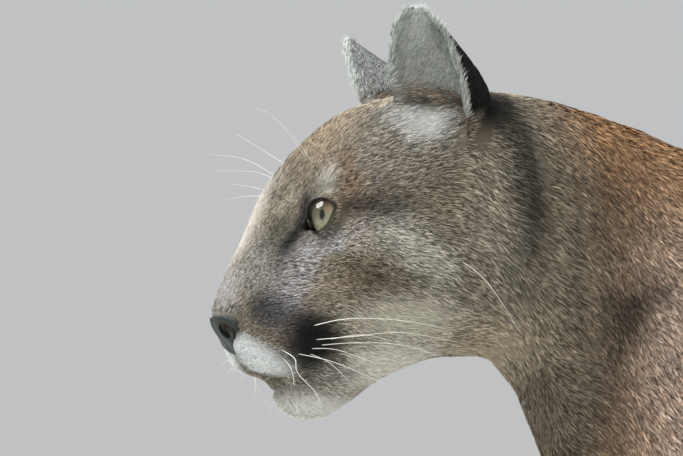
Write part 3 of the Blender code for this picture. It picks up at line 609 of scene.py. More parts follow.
def coat_length(here: Places) -> Array:
    """The length of the coat in metres."""
    length = np.full(len(here.world), 16.0)
    for amount in BODY_LENGTHS:
        length += (amount.value - length) * amount.spot.share(here.sides)
    leg = smoothstep(0.40, 0.28, here.body[:, 2]) * (1.0 - tail_share(here))
    length += (10.5 - length) * leg
    length += (5.5 - length) * smoothstep(0.13, 0.05, here.body[:, 2]) * (1.0 - tail_share(here))
    length += (20.0 - length) * tail_share(here)
    head = np.full(len(length), 6.5)
    for amount in HEAD_LENGTHS:
        head += (amount.value - head) * amount.spot.share(here.face)
    head += (3.4 - head) * here.ear()
    length += (head - length) * here.in_head
    return length * MM


def coat_depth(here: Places) -> Array:
    """How far the skin lies inside the solids, in metres."""
    depth = coat_length(here) * 0.26
    depth *= 1.0 - 0.75 * here.ear()
    return depth


def tail_share(here: Places) -> Array:
    """How far each point belongs to the tail."""
    return smoothstep(0.815, 0.850, here.body[:, 0])


TAIL_PATH = (
    (0.740, 0.600), (0.800, 0.590), (0.860, 0.550), (0.915, 0.480), (0.955, 0.395),
    (0.992, 0.310), (1.045, 0.235), (1.120, 0.190), (1.205, 0.185), (1.280, 0.215), (1.318, 0.242),
)
# How the coat lies on the head: a place, and the way the hair points (back, outwards, up)
HEAD_LIE = (
    ((14, 8, 88), (0.5, 0.2, 0.9)), ((34, 12, 130), (0.5, 0.1, 0.85)), ((54, 10, 175), (0.7, 0.1, 0.7)),
    ((80, 15, 205), (0.9, 0.15, 0.4)), ((130, 20, 228), (1.0, 0.1, 0.0)), ((200, 20, 230), (1.0, 0.0, -0.2)),
    ((24, 26, 60), (0.7, 0.6, 0.3)), ((44, 44, 62), (0.9, 0.4, 0.0)), ((34, 30, 36), (0.6, 0.4, -0.7)),
    ((58, 46, 38), (0.9, 0.3, -0.4)), ((56, 10, 4), (0.8, 0.2, -0.5)), ((66, 26, 16), (0.8, 0.2, -0.5)),
    ((110, 45, 34), (1.0, 0.1, -0.3)), ((46, 26, 100), (0.5, 0.8, 0.2)), ((62, 44, 108), (0.8, 0.6, -0.1)),
    ((50, 22, 140), (0.5, 0.3, 0.8)), ((64, 38, 162), (0.4, 0.5, 0.8)), ((86, 56, 138), (1.0, 0.4, 0.0)),
    ((84, 62, 96), (1.0, 0.3, -0.25)), ((105, 62, 165), (0.95, 0.3, 0.15)), ((122, 78, 110), (1.0, 0.1, -0.3)),
    ((130, 70, 192), (0.9, 0.2, 0.3)), ((160, 84, 75), (0.9, 0.0, -0.5)), ((160, 86, 130), (0.95, 0.0, -0.35)),
    ((195, 84, 170), (0.8, 0.0, -0.6)), ((195, 80, 110), (0.8, 0.0, -0.6)), ((170, 50, 48), (1.0, 0.0, -0.15)),
)


def coat_lie(head: Head, here: Places) -> Array:
    """The way the hair points along the skin, as unit vectors in the world.

    Args:
        head: The head's frame.
        here: The places.

    Returns:
        One direction for each place, along the skin.
    """
    count = len(here.world)
    x, z = here.body[:, 0], here.body[:, 2]
    neck = smoothstep(-0.02, -0.14, x)
    down = -0.22 - 0.75 * neck - 0.35 * smoothstep(0.02, -0.08, x)
    lie = np.stack([np.ones(count), np.zeros(count), down], axis=1)
    leg = smoothstep(0.50, 0.34, z)
    belly = smoothstep(0.060, 0.030, here.sides[:, 1]) * smoothstep(0.30, 0.36, z)
    leg *= 1.0 - belly
    lie += (np.array([0.15, 0.0, -1.0]) - lie) * leg[:, None]
    foot = smoothstep(0.075, 0.035, z)
    lie += (np.array([-0.8, 0.0, -0.35]) - lie) * foot[:, None]
    tail = tail_share(here)
    path = np.array(TAIL_PATH)
    middles, steps = (path[1:] + path[:-1]) / 2, np.diff(path, axis=0)
    nearest = np.argmin([np.hypot(x - mx, z - mz) for mx, mz in middles], axis=0)
    along = np.stack([steps[nearest, 0], np.zeros(count), steps[nearest, 1]], axis=1)
    lie += (unit(along) - lie) * tail[:, None]
    total = np.zeros((count, 3))
    for place, way in HEAD_LIE:
        pull = np.exp(-np.sum(((here.face - place) / 22.0) ** 2, axis=1)) + 1e-9
        total += pull[:, None] * np.array(way)
    total = unit(total)
    ear = here.ear()[:, None]
    inside = ear_inside(head, here)[:, None]
    in_cup, on_back = np.array([0.35, 0.55, 0.75]), np.array([-0.10, 0.20, 0.95])
    total += (on_back + (in_cup - on_back) * inside - total) * ear
    total[:, 1] *= np.sign(here.local[:, 1])
    total = total @ np.array(head.matrix().to_3x3()).T
    lie = unit(lie) + (total - unit(lie)) * here.in_head[:, None]
    lie -= here.normals * np.sum(lie * here.normals, axis=1, keepdims=True)
    return unit(lie)


def head_normals(head: Head, here: Places) -> Array:
    """The normals in the head's frame, with the second number pointing outwards on both sides."""
    normals = here.normals @ np.array(head.matrix().to_3x3())
    normals[:, 1] *= np.sign(here.local[:, 1])
    return normals


def ear_inside(head: Head, here: Places) -> Array:
    """How far each point's surface faces the way an ear's cup opens, from 0 to 1."""
    facing = head_normals(head, here) @ np.array([-0.85, 0.53, 0.0])
    return smoothstep(-0.1, 0.2, facing)


@dataclass(frozen=True)
class Marking:
    """A soft patch of colour, given as it looks on a screen; most follow the coat's own pattern, a few are
    painted shade and a few painted light.
    """

    spot: Spot | Streak
    colour: tuple[int, int, int]
    strength: float = 1.0


BODY_BASE = (126, 99, 74)
# Soft patches on the body: the coat's own pattern, with painted shade on the neck side and along the crease
# before the shoulder
BODY_MARKINGS_AND_SHADE = {
    "dark back": Marking(Spot((0.30, 0.0, 0.72), (0.70, 0.045, 0.060), 1.5), (100, 72, 48), 0.8),
    # Painted shade: the side of the neck, which the light from above misses, is darkened
    "neck side": Marking(Spot((-0.18, 0.08, 0.66), (0.085, 0.07, 0.15), 1.5), (52, 43, 31), 0.95),
    "top of the neck": Marking(Spot((-0.15, 0.0, 0.80), (0.17, 0.09, 0.060), 1.5), (122, 92, 62), 0.9),
    "neck front": Marking(Spot((-0.18, 0.03, 0.50), (0.050, 0.10, 0.07), 1.5), (140, 120, 90), 0.8),
    "shoulder": Marking(Spot((-0.03, 0.10, 0.60), (0.070, 0.05, 0.13), 1.5), (140, 122, 106), 0.9),
    "belly": Marking(Spot((0.30, 0.0, 0.375), (0.45, 0.085, 0.055), 1.5), (204, 190, 168), 0.95),
    "chest": Marking(Spot((-0.13, 0.0, 0.44), (0.06, 0.055, 0.08), 1.5), (186, 168, 144), 0.8),
    "groin": Marking(Spot((0.62, 0.0, 0.42), (0.12, 0.050, 0.09), 1.5), (204, 190, 168), 0.9),
    "haunch": Marking(Spot((0.66, 0.10, 0.52), (0.12, 0.05, 0.13), 1.5), (152, 122, 92), 0.7),
    "front of the shoulder": Marking(
        Spot((-0.072, 0.10, 0.63), (0.062, 0.05, 0.11), 1.5), (142, 124, 110), 0.9),
    # Painted shade along the crease in front of the shoulder, above and below
    "groove above": Marking(Streak((-0.070, 0.10, 0.695), (-0.126, 0.09, 0.646), 0.016), (46, 38, 28), 0.8),
    "groove below": Marking(Streak((-0.126, 0.09, 0.646), (-0.166, 0.08, 0.547), 0.016), (46, 38, 28), 0.8),
}
HEAD_BASE = (118, 109, 94)
# Soft patches on the head, in mm in its frame: the coat's own pattern, with painted shade beside the bridge, in
# the eye's inner corner and in the nostril, and painted light on the crown and the top of the bridge
HEAD_MARKINGS_AND_PAINTED_LIGHT = {
    # A paler crown, made brighter still with painted light from above
    "crown": Marking(Spot((130, 0, 232), (90, 50, 18), 1.5), (184, 172, 154), 0.9),
    "rusty forehead": Marking(Spot((70, 20, 198), (26, 20, 20)), (166, 146, 120), 0.8),
    "temple": Marking(Spot((121, 55, 185), (42, 40, 30), 1.5), (120, 114, 104), 0.8),
    "dark beside the eye": Marking(Spot((104, 68, 140), (26, 30, 13)), (50, 42, 32), 0.9),
    "tan cheek": Marking(Spot((92, 70, 93), (26, 30, 24), 1.5), (90, 80, 63), 0.8),
    "light cheek": Marking(Streak((108, 74, 122), (136, 82, 102), 16.0, 1.0), (176, 174, 164), 0.65),
    "low cheek": Marking(Spot((120, 60, 66), (44, 40, 18), 1.5), (202, 198, 182), 0.8),
    "jowl": Marking(Spot((176, 84, 110), (26, 40, 50), 1.5), (136, 130, 116), 0.7),
    "grey behind the ear": Marking(Spot((198, 80, 156), (15, 40, 62), 1.5), (42, 40, 36), 0.9),
    "pale edge behind it": Marking(Spot((207, 80, 190), (4, 40, 30), 1.5), (110, 106, 98), 0.5),
    "side of the bridge": Marking(Spot((31, 20, 104), (16, 18, 26), 1.5), (132, 130, 124), 0.8),
    # Painted shade in the hollow between the bridge and the eye
    "flank of the bridge": Marking(Streak((38, 18, 112), (46, 20, 134), 7.0), (72, 70, 60), 0.8),
    "bridge beside the tear": Marking(Streak((45, 18, 143), (53, 20, 153), 6.0), (150, 145, 128), 0.75),
    # A pale bridge top, made brighter still with painted light from above
    "top of the bridge": Marking(Spot((34, 0, 128), (24, 10, 44), 1.5), (230, 224, 212), 0.85),
    "white over the nose": Marking(Spot((10, 6, 86), (13, 15, 18), 1.5), (184, 182, 180), 0.8),
    "mauve band": Marking(Streak((58, 40, 116), (40, 36, 78), 12.0), (140, 138, 140), 0.8),
    "grey muzzle": Marking(Streak((30, 30, 73), (50, 42, 60), 13.0), (38, 39, 43), 0.9),
    "light under the eye": Marking(Streak((56, 36, 116), (76, 50, 118), 6.0), (176, 176, 176), 0.8),
    "light beside the eye": Marking(Spot((88, 56, 122), (9, 14, 12), 1.5), (156, 150, 142), 0.7),
    # The dark start of the tear line, with painted shade where the eye's inner corner lies in shadow
    "inner corner": Marking(Streak((62, 25, 150), (58, 28, 132), 4.6), (26, 26, 25), 0.95),
    "tear": Marking(Streak((58, 28, 132), (46, 26, 115), 5.2), (34, 36, 38), 0.95),
    "end of the tear": Marking(Streak((46, 26, 113), (41, 27, 100), 5.0), (76, 76, 80), 0.6),
    "inner brow": Marking(Streak((58, 24, 154), (46, 20, 164), 4.0), (84, 78, 68), 0.6),
    "white brow": Marking(Streak((52, 30, 157), (72, 42, 162), 9.0), (188, 184, 174), 0.85),
    "rust behind the brow": Marking(Streak((86, 52, 150), (82, 42, 180), 8.0), (112, 92, 72), 0.7),
    "white lip": Marking(Streak((12, 14, 46), (44, 38, 29), 15.0, 2.5), (222, 226, 225), 1.0),
    "white chin": Marking(Spot((58, 0, 6), (44, 60, 17), 2.5), (208, 208, 200), 1.0),
    "white jaw": Marking(Spot((124, 40, 34), (60, 60, 17), 2.0), (212, 210, 198), 0.95),
    "pale throat": Marking(Spot((190, 30, 50), (40, 60, 22), 1.5), (176, 162, 138), 0.8),
    "brown on the lip": Marking(Spot((46, 44, 44), (13, 20, 9), 1.5), (74, 68, 60), 0.7),
    "dark patch behind": Marking(Spot((78, 52, 40), (11, 30, 11), 1.5), (66, 58, 48), 0.8),
    "dark patch": Marking(Spot((60, 47, 48), (19, 34, 25), 2.5), (9, 9, 10), 1.0),
    "corner of the mouth": Marking(Spot((80, 50, 31), (12, 30, 4)), (60, 52, 46), 0.6),
    "pale hair before the ear": Marking(Streak((108, 48, 226), (136, 62, 202), 17.0), (204, 206, 202), 0.9),
    "black behind the ear": Marking(Spot((182, 58, 216), (20, 36, 30), 2.0), (15, 18, 19), 1.0),
    "lip edge": Marking(Streak((14, 10, 40), (40, 30, 25), 7.5, 2.0), (216, 220, 218), 0.9),
    # Near-black in the nostril: its own dark inside, with painted shade in the hole
    "nostril": Marking(Streak((9, 11, 61), (22, 19, 61), 6.0, 2.5), (5, 5, 6), 1.0),
    "behind the eye": Marking(Streak((88, 54, 143), (110, 66, 138), 7.0), (46, 40, 31), 0.8),
    "shade under the eye": Marking(Streak((58, 38, 121), (76, 48, 122), 8.0), (104, 104, 104), 0.5),
}
TAIL_TIP, TAIL_TOP = (44, 38, 34), (140, 106, 76)
EAR_BLACK, EAR_GREY, EAR_CUP, EAR_EDGE = (18, 21, 22), (112, 114, 112), (178, 182, 176), (216, 220, 216)
EAR_FOOT = Marking(Streak((122, 46, 222), (152, 66, 215), 10.0), (186, 188, 182), 0.85)
LEG_INSIDE, PAW_TOP, SOLE = (196, 180, 156), (172, 150, 122), (40, 36, 34)


def painted(base: Array, colour_patch: Marking, places: Array) -> Array:
    """The colours with one soft patch of colour laid over them."""
    share = colour_patch.spot.share(places) * colour_patch.strength
    return base + (linear(*colour_patch.colour) - base) * share[:, None]


def blended(base: Array, colour: tuple[int, int, int], share: Array) -> Array:
    """The colours with one more laid over them by a share."""
    return base + (linear(*colour) - base) * share[:, None]


def coat_colour(head: Head, here: Places) -> Array:
    """The coat's colour, with painted shade and painted light in a few of its patches.

    Args:
        head: The head's frame.
        here: The places.

    Returns:
        One linear colour for each place.
    """
    count = len(here.world)
    body = np.tile(linear(*BODY_BASE), (count, 1))
    for colour_patch in BODY_MARKINGS_AND_SHADE.values():
        body = painted(body, colour_patch, here.sides)
    x, z = here.body[:, 0], here.body[:, 2]
    low = smoothstep(0.42, 0.30, z)
    spin_in = smoothstep(0.2, -0.5, here.normals[:, 1] * np.sign(here.body[:, 1]))
    body = blended(body, LEG_INSIDE, 0.75 * low * spin_in)
    body = blended(body, PAW_TOP, 0.6 * smoothstep(0.12, 0.04, z))
    body = blended(body, SOLE, smoothstep(0.010, 0.004, z) * smoothstep(-0.4, -0.8, here.normals[:, 2]))
    body = blended(body, TAIL_TOP, 0.6 * tail_share(here) * smoothstep(-0.3, 0.6, here.normals[:, 2]))
    body = blended(body, TAIL_TIP, smoothstep(1.150, 1.215, x))
    face = np.tile(linear(*HEAD_BASE), (count, 1))
    for colour_patch in HEAD_MARKINGS_AND_PAINTED_LIGHT.values():
        face = painted(face, colour_patch, here.face)
    ear, inside = here.ear(), ear_inside(head, here)
    face = blended(face, EAR_BLACK, ear * (1.0 - inside))
    inner_back = smoothstep(-0.15, -0.55, head_normals(head, here)[:, 1])
    face = blended(face, EAR_GREY, ear * (1.0 - inside) * inner_back)
    face = blended(face, EAR_CUP, ear * inside)
    face = blended(face, EAR_GREY, ear * (1 - inside) * smoothstep(250, 276, here.face[:, 2]) * 0.6)
    edge = ear * smoothstep(0.25, 0.8, -head_normals(head, here)[:, 0]) * smoothstep(142, 130, here.face[:, 0])
    face = blended(face, EAR_EDGE, edge * 0.7)
    face = painted(face, EAR_FOOT, here.face)
    return body + (face - body) * here.in_head[:, None]


class Region(Enum):
    """The pieces of the coat, each with its slot, its number of tufts and the triangles in one."""

    FACE = ("head_coat", 170000, 1)
    CHEEKS = ("head_coat", 130000, 1)
    CROWN = ("head_coat", 130000, 1)
    EARS = ("ear_coat", 60000, 1)
    NAPE = ("neck_coat", 46000, 3)
    NECK = ("neck_coat", 54000, 3)
    SHOULDERS = ("body_coat", 50000, 3)
    TRUNK = ("body_coat", 46000, 3)
    HAUNCHES = ("body_coat", 36000, 3)
    LEGS = ("leg_coat", 30000, 3)
    PAWS = ("paw_coat", 40000, 1)
    TAIL = ("tail_coat", 14000, 3)
    TAIL_TIP = ("tail_tip_coat", 5000, 3)


def regions_of(here: Places) -> Array:
    """The index of the coat's piece that each place belongs to."""
    order = list(Region)
    x, z = here.body[:, 0], here.body[:, 2]
    choice = np.full(len(x), order.index(Region.TRUNK))
    choice[x < 0.18] = order.index(Region.SHOULDERS)
    choice[x > 0.50] = order.index(Region.HAUNCHES)
    choice[z < 0.34] = order.index(Region.LEGS)
    choice[z < 0.075] = order.index(Region.PAWS)
    choice[(x < -0.07) & (z > 0.36)] = order.index(Region.NECK)
    choice[(x < -0.07) & (z > 0.66)] = order.index(Region.NAPE)
    choice[here.in_head > 0.5] = order.index(Region.CROWN)
    choice[(here.in_head > 0.5) & (here.face[:, 2] < 146)] = order.index(Region.CHEEKS)
    choice[(here.in_head > 0.5) & (here.face[:, 0] < 96)] = order.index(Region.FACE)
    choice[here.ear() > 0.5] = order.index(Region.EARS)
    choice[tail_share(here) > 0.5] = order.index(Region.TAIL)
    choice[x > 1.16] = order.index(Region.TAIL_TIP)
    return choice


def ripple(places: Array, pace: float, seed: int) -> Array:
    """A soft uneven field from about -1 to 1, with waves of about 1/pace metres."""
    rng = np.random.default_rng(seed)
    ways = rng.normal(size=(7, 3)) * pace
    return np.sin(places @ ways.T + rng.uniform(0, 6.3, 7)).mean(axis=1) * 1.9


def mesh_of(name: str, points: Array, faces: Array) -> bpy.types.Mesh:
    """A mesh from arrays.

    Args:
        name: The mesh's name.
        points: The vertices.
        faces: The corners' vertex numbers, the same number for each face.

    Returns:
        The mesh, smooth shaded.
    """
    mesh = bpy.data.meshes.new(name)
    count, sides = faces.shape
    mesh.vertices.add(len(points))
    mesh.vertices.foreach_set("co", np.ascontiguousarray(points, dtype=np.float32).ravel())
    mesh.loops.add(count * sides)
    mesh.loops.foreach_set("vertex_index", np.ascontiguousarray(faces, dtype=np.int32).ravel())
    mesh.polygons.add(count)
    mesh.polygons.foreach_set("loop_start", np.arange(0, count * sides, sides, dtype=np.int32))
    mesh.update(calc_edges=True)
    mesh.validate()
    mesh.shade_smooth()
    return mesh


def paint(mesh: bpy.types.Mesh, name: str, colours: Array) -> None:
    """Lays a colour on each vertex."""
    layer = mesh.color_attributes.new(name, "FLOAT_COLOR", "POINT")
    full = np.ones((len(colours), 4), dtype=np.float32)
    full[:, :3] = np.clip(colours, 0.0, 1.0)
    layer.data.foreach_set("color", full.ravel())
    mesh.color_attributes.active_color = layer


@dataclass
class Coat:
    """The coat: thin flat tufts that overlap and lie along the skin."""

    head: Head
    skin: bpy.types.Object
    bare: Array
    lift: float = math.radians(15.0)
    tip_lift: float = math.radians(4.0)
    sink: float = 0.03
    patch: float = 0.003
    cup_hair: float = 7.5 * MM
    slender: float = 0.06
    finest: float = 0.46
    sway: float = math.radians(9.0)
    floor: float = 0.0008

    def build(self, material: bpy.types.Material) -> None:
        """Grows the coat, one piece for each region."""
        self._read(self.skin.data)
        for number, region in enumerate(Region):
            slot, count, triangles = region.value
            share = self.weight * (self.region == number)
            rng = np.random.default_rng(100 + number)
            chosen = rng.choice(len(share), size=count, p=share / share.sum())
            piece = self._tufts(f"coat_{region.name.lower()}", chosen, triangles, rng)
            finished(piece, material, slot)

    def _read(self, mesh: bpy.types.Mesh) -> None:
        """Reads the skin and works out what the coat is like all over it."""
        self.corners = corners_of(mesh)
        flat = np.empty(len(mesh.loops) * 2)
        mesh.uv_layers["OFBake"].data.foreach_get("uv", flat)
        self.unwrap = flat.reshape(-1, 3, 2)
        here = Places(self.head, points_of(mesh), normals_of(mesh))
        ear, inside = here.ear(), ear_inside(self.head, here)
        length = coat_length(here)
        length += (self.cup_hair - length) * ear * inside
        broad = 0.05 + 0.85 * smoothstep(-0.10, 0.05, here.body[:, 0])
        width = self.slender * length + (self.finest + broad * (1.0 - here.in_head)) * MM
        colour = coat_colour(self.head, here)
        bright = colour.mean(axis=1)
        grain = 0.25 + 0.75 * smoothstep(0.50, 0.20, bright) * smoothstep(0.0, 0.03, bright)
        lift = self.lift * (1.0 + 0.6 * ear * inside - 0.25 * here.in_head)
        self.fields = np.column_stack([
            here.world, here.normals, coat_lie(self.head, here), length, width, colour, grain, lift,
        ])
        triangles = here.world[self.corners]
        middle = Places(self.head, triangles.mean(axis=1), here.normals[self.corners[:, 0]])
        self.region = regions_of(middle)
        across = np.cross(triangles[:, 1] - triangles[:, 0], triangles[:, 2] - triangles[:, 0])
        area = np.linalg.norm(across, axis=1) / 2
        thick = (1.0 / (length * width))[self.corners].mean(axis=1)
        self.weight = area * thick * (~self.bare[self.corners].any(axis=1))
        self.weight[middle.world[:, 2] < 0.003] = 0.0

    def _tufts(self, name: str, chosen: Array, triangles: int, rng: np.random.Generator) -> bpy.types.Object:
        """One joined piece of tufts.

        Args:
            name: The piece's name.
            chosen: The skin's triangle under each tuft.
            triangles: One for a short straight tuft, three for a longer bent one.
            rng: The source of chance.

        Returns:
            The piece.
        """
        count = len(chosen)
        share = rng.dirichlet((1.0, 1.0, 1.0), count)
        found = np.einsum("kc,kcf->kf", share, self.fields[self.corners[chosen]])
        place, normal, lie = found[:, 0:3], unit(found[:, 3:6]), found[:, 6:9]
        length = found[:, 9] * rng.uniform(0.70, 1.18, count)
        width = found[:, 10] * rng.uniform(0.75, 1.25, count)
        colour, grain, lift = found[:, 11:14], found[:, 14], found[:, 15]
        lie = unit(lie - normal * np.sum(lie * normal, axis=1, keepdims=True))
        side = np.cross(lie, normal)
        turn = rng.normal(0.0, self.sway, count) + 0.16 * ripple(place, 90.0, 3)
        lie, side = (lie * np.cos(turn)[:, None] + side * np.sin(turn)[:, None],
                     side * np.cos(turn)[:, None] - lie * np.sin(turn)[:, None])
        lift = lift * rng.uniform(0.55, 1.5, count) * (1.0 + 0.25 * ripple(place, 140.0, 5))
        tip_lift = self.tip_lift * rng.uniform(-0.6, 2.2, count)
        rise = lie * np.cos(lift)[:, None] + normal * np.sin(lift)[:, None]
        rest = lie * np.cos(tip_lift)[:, None] + normal * np.sin(tip_lift)[:, None]
        roll = rng.normal(0.0, 0.30, count)
        side = side * np.cos(roll)[:, None] + normal * np.sin(roll)[:, None]
        root = place - normal * (self.sink * length + 0.0001)[:, None]
        middle = root + rise * (length * 0.5)[:, None]
        tip = middle + rest * (length * 0.5)[:, None]
        half = side * (width / 2)[:, None]
        points = np.stack([root - half * 0.8, root + half * 0.8, middle - half, middle + half, tip], axis=1)
        pattern = np.array([[0, 1, 3], [0, 3, 2], [2, 3, 4]])
        kept = np.arange(5)
        if triangles == 1:
            points[:, 0], points[:, 1] = root - half, root + half
            pattern, kept = np.array([[0, 1, 2]]), np.array([0, 1, 4])
        points = points[:, kept]
        points[:, :, 2] = np.maximum(points[:, :, 2], self.floor)
        start = np.arange(count)[:, None, None] * len(kept)
        faces = (start + pattern).reshape(-1, 3)
        mesh = mesh_of(name, points.reshape(-1, 3), faces)
        paint(mesh, "coat_colour", self._hairs(place, colour, grain, rng)[:, kept].reshape(-1, 3))
        self._lay(mesh, chosen, share, kept[pattern])
        return new_piece(name, mesh)

    def _hairs(self, place: Array, colour: Array, grain: Array, rng: np.random.Generator) -> Array:
        """The colours of each tuft: dark at its root, banded, with a light or a dark tip."""
        count = len(colour)
        tone = 1.0 + 0.10 * grain * (ripple(place, 260.0, 11) + ripple(place, 900.0, 12))
        tone *= np.exp(grain * rng.normal(-0.03, 0.32, count))
        light = rng.random(count) < 0.55
        tip = np.where(light, 1.0 + 1.05 * grain, 1.0 - 0.72 * grain)
        root = 1.0 - 0.78 * (0.35 + 0.65 * grain)
        levels = np.stack([root * tone, root * tone, 0.86 * tone, 0.86 * tone, tip * tone], axis=1)
        warmth = rng.normal(0.0, 0.035, (count, 1)) * grain[:, None]
        tint = colour * np.concatenate([1.0 + warmth, np.ones_like(warmth), 1.0 - warmth], axis=1)
        return tint[:, None, :] * levels[:, :, None]

    def _lay(self, mesh: bpy.types.Mesh, chosen: Array, share: Array, order: Array) -> None:
        """Gives each tuft its patch at its root's place on the skin's unwrap."""
        root = np.einsum("kc,kcf->kf", share, self.unwrap[chosen])
        shape = np.array([[-0.4, -0.5], [0.4, -0.5], [-0.5, 0.0], [0.5, 0.0], [0.0, 0.5]]) * self.patch
        corner = shape[order.ravel()]
        places = np.clip(root[:, None, :] + corner[None], 0.0, 1.0)
        layer = mesh.uv_layers.new(name="OFBake")
        layer.data.foreach_set("uv", np.ascontiguousarray(places, dtype=np.float32).ravel())


@dataclass
class Eyes:
    """The eyeballs, their corneas, the dark rims of the lids and the fold in the inner corner."""

    head: Head
    skin: Skin
    iris_half_angle: float = math.radians(60.0)
    cornea_apex: float = 0.0156
    iris_dome: float = 0.0003
    rim_width: float = 0.0008
    corner: tuple[float, float, float] = (-0.0112, -0.0056, 0.0092)

    def build(self, finishes: "Finishes") -> None:
        """Makes all that belongs to both eyes."""
        for side in Side:
            node = f"eye_{side.word}"
            finished(self._ball(side), finishes.eye, "eye", node)
            finished(self._cornea(side), finishes.cornea, "eye")
            finished(self._lid_rim(side), finishes.lid, "nose_leather")
            finished(self._inner_fold(side), finishes.lid, "nose_leather")

    def _sphere(self, name: str, radius: float, segments: int = 64, rings: int = 48) -> bpy.types.Object:
        """A ball at the origin, its pole the way the eye looks."""
        bpy.ops.object.select_all(action="DESELECT")
        bpy.ops.mesh.primitive_uv_sphere_add(segments=segments, ring_count=rings, radius=radius)
        item = bpy.context.view_layer.objects.active
        item.name = item.data.name = name
        bpy.ops.object.shade_smooth()
        return item

    def _place(self, item: bpy.types.Object, side: Side, points: Array) -> bpy.types.Object:
        """Keeps the points in the eye's frame as an attribute and takes the piece to the head."""
        layer = item.data.attributes.new("eye_place", "FLOAT_VECTOR", "POINT")
        own = points * (side.hand, 1, 1)
        layer.data.foreach_set("vector", np.ascontiguousarray(own, dtype=np.float32).ravel())
        set_points(item.data, turned(points, self.head.eye_frame(side)))
        return item

    def _ball(self, side: Side) -> bpy.types.Object:
        """The eyeball, its front flattened to a slightly domed iris."""
        radius = self.head.eye_radius
        item = self._sphere(f"eyeball_{side.word}", radius, 96, 72)
        points = points_of(item.data)
        flat = radius * math.cos(self.iris_half_angle)
        edge = radius * math.sin(self.iris_half_angle)
        out = np.linalg.norm(points[:, :2], axis=1)
        dome = flat + self.iris_dome * (1.0 - (out / edge) ** 2)
        front = points[:, 2] > flat
        points[front, 2] = dome[front]
        return self._place(item, side, points)

    def _cornea(self, side: Side) -> bpy.types.Object:
        """The clear dome over the iris."""
        radius = self.head.eye_radius
        low = radius * math.cos(self.iris_half_angle) - 0.0004
        edge = math.sqrt(radius**2 - low**2) + 0.0001
        rise = self.cornea_apex - low
        bend = (edge**2 + rise**2) / (2 * rise)
        item = self._sphere(f"cornea_{side.word}", bend, 64, 64)
        points = points_of(item.data)
        centre = self.cornea_apex - bend
        points[:, 2] += centre
        only(item)
        set_points(item.data, points)
        bpy.ops.object.mode_set(mode="EDIT")
        bpy.ops.mesh.select_all(action="SELECT")
        bpy.ops.mesh.bisect(plane_co=(0, 0, low), plane_no=(0, 0, 1), clear_inner=True)
        bpy.ops.object.mode_set(mode="OBJECT")
        return self._place(item, side, points_of(item.data))

    def _lid_rim(self, side: Side) -> bpy.types.Object:
        """The bare dark edge of the lids, from the skin down to the eyeball."""
        path = self.skin.rims[side]
        count, turns = len(path), 12
        bpy.ops.object.select_all(action="DESELECT")
        bpy.ops.mesh.primitive_torus_add(major_segments=count, minor_segments=turns,
                                         major_radius=0.012, minor_radius=0.001)
        item = bpy.context.view_layer.objects.active
        item.name = item.data.name = f"lid_rim_{side.word}"
        out = np.linalg.norm(path[:, :2], axis=1)
        ball = np.sqrt(np.maximum(self.head.eye_radius**2 - np.minimum(out, 0.0146) ** 2, 0.0)) - 0.0012
        middle, tall = (path[:, 2] + ball) / 2, (path[:, 2] - ball) / 2 + 0.0002
        along = np.roll(path, -1, axis=0) - np.roll(path, 1, axis=0)
        across = unit(np.stack([along[:, 1], -along[:, 0], np.zeros(count)], axis=1))
        angle = np.arange(turns) * 2 * math.pi / turns
        shift = across[:, None] * (np.cos(angle) * self.rim_width)[None, :, None]
        points = path[:, None, :] * (1, 1, 0) + shift
        points[:, :, 2] = middle[:, None] + tall[:, None] * np.sin(angle)[None]
        outward(self._place(item, side, points.reshape(-1, 3)))
        bpy.ops.object.shade_smooth()
        return item

    def _inner_fold(self, side: Side) -> bpy.types.Object:
        """The dark third lid in the corner next to the nose."""
        item = self._sphere(f"inner_fold_{side.word}", 1.0, 32, 24)
        points = points_of(item.data) * (0.0050, 0.0046, 0.0014)
        tilt = np.array(Vector((0, 0, 1)).rotation_difference(Vector(self.corner)).to_matrix())
        points = points @ tilt.T + self.corner
        points *= (side.hand, 1, 1)
        return outward(self._place(item, side, points))


@dataclass
class NoseLeather:
    """The damp bare leather of the nose, from its own solid, with painted shade in its nostril."""

    head: Head
    voxel: float = 0.0008
    passes: int = 6
    leather: tuple[int, int, int] = (44, 50, 47)
    # Near-black for the nostril and its side slit: their own dark inside, with painted shade in the hollows
    hollow: tuple[int, int, int] = (3, 4, 4)
    strokes: tuple[Stroke, ...] = (
        Stroke(Streak((9, 12, 62), (19, 18, 58), 4.6), 4.0),
        Stroke(Streak((19, 18, 60), (24, 22, 66), 2.8), 2.6),
        Stroke(Spot((4, 0, 56), (8, 0.9, 14)), 0.9),
    )

    def build(self, material: bpy.types.Material) -> bpy.types.Object:
        """Makes the nose leather.

        Args:
            material: Its finish.

        Returns:
            The piece.
        """
        item = new_piece("nose_leather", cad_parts["nose"].data.copy())
        run_together(item, self.voxel)
        smooth = item.modifiers.new("smooth", "SMOOTH")
        smooth.iterations = self.passes
        apply_all(item)
        here = Places(self.head, points_of(item.data), normals_of(item.data))
        normals = here.normals @ np.array(self.head.matrix().to_3x3())
        face = here.local.copy()
        for stroke in self.strokes:
            face -= normals * (stroke.spot.share(here.face) * stroke.depth * MM)[:, None]
        set_points(item.data, turned(face, self.head.matrix()))
        tone = np.tile(linear(*self.leather), (len(face), 1))
        # Painted shade: the nostril's hollows are darkened towards black
        for stroke in self.strokes[:2]:
            tone = blended(tone, self.hollow, stroke.spot.share(here.face) ** 0.35)
        paint(item.data, "leather_tone", tone)
        bpy.ops.object.shade_smooth()
        finished(item, material, "nose_leather", "nose")
        return item


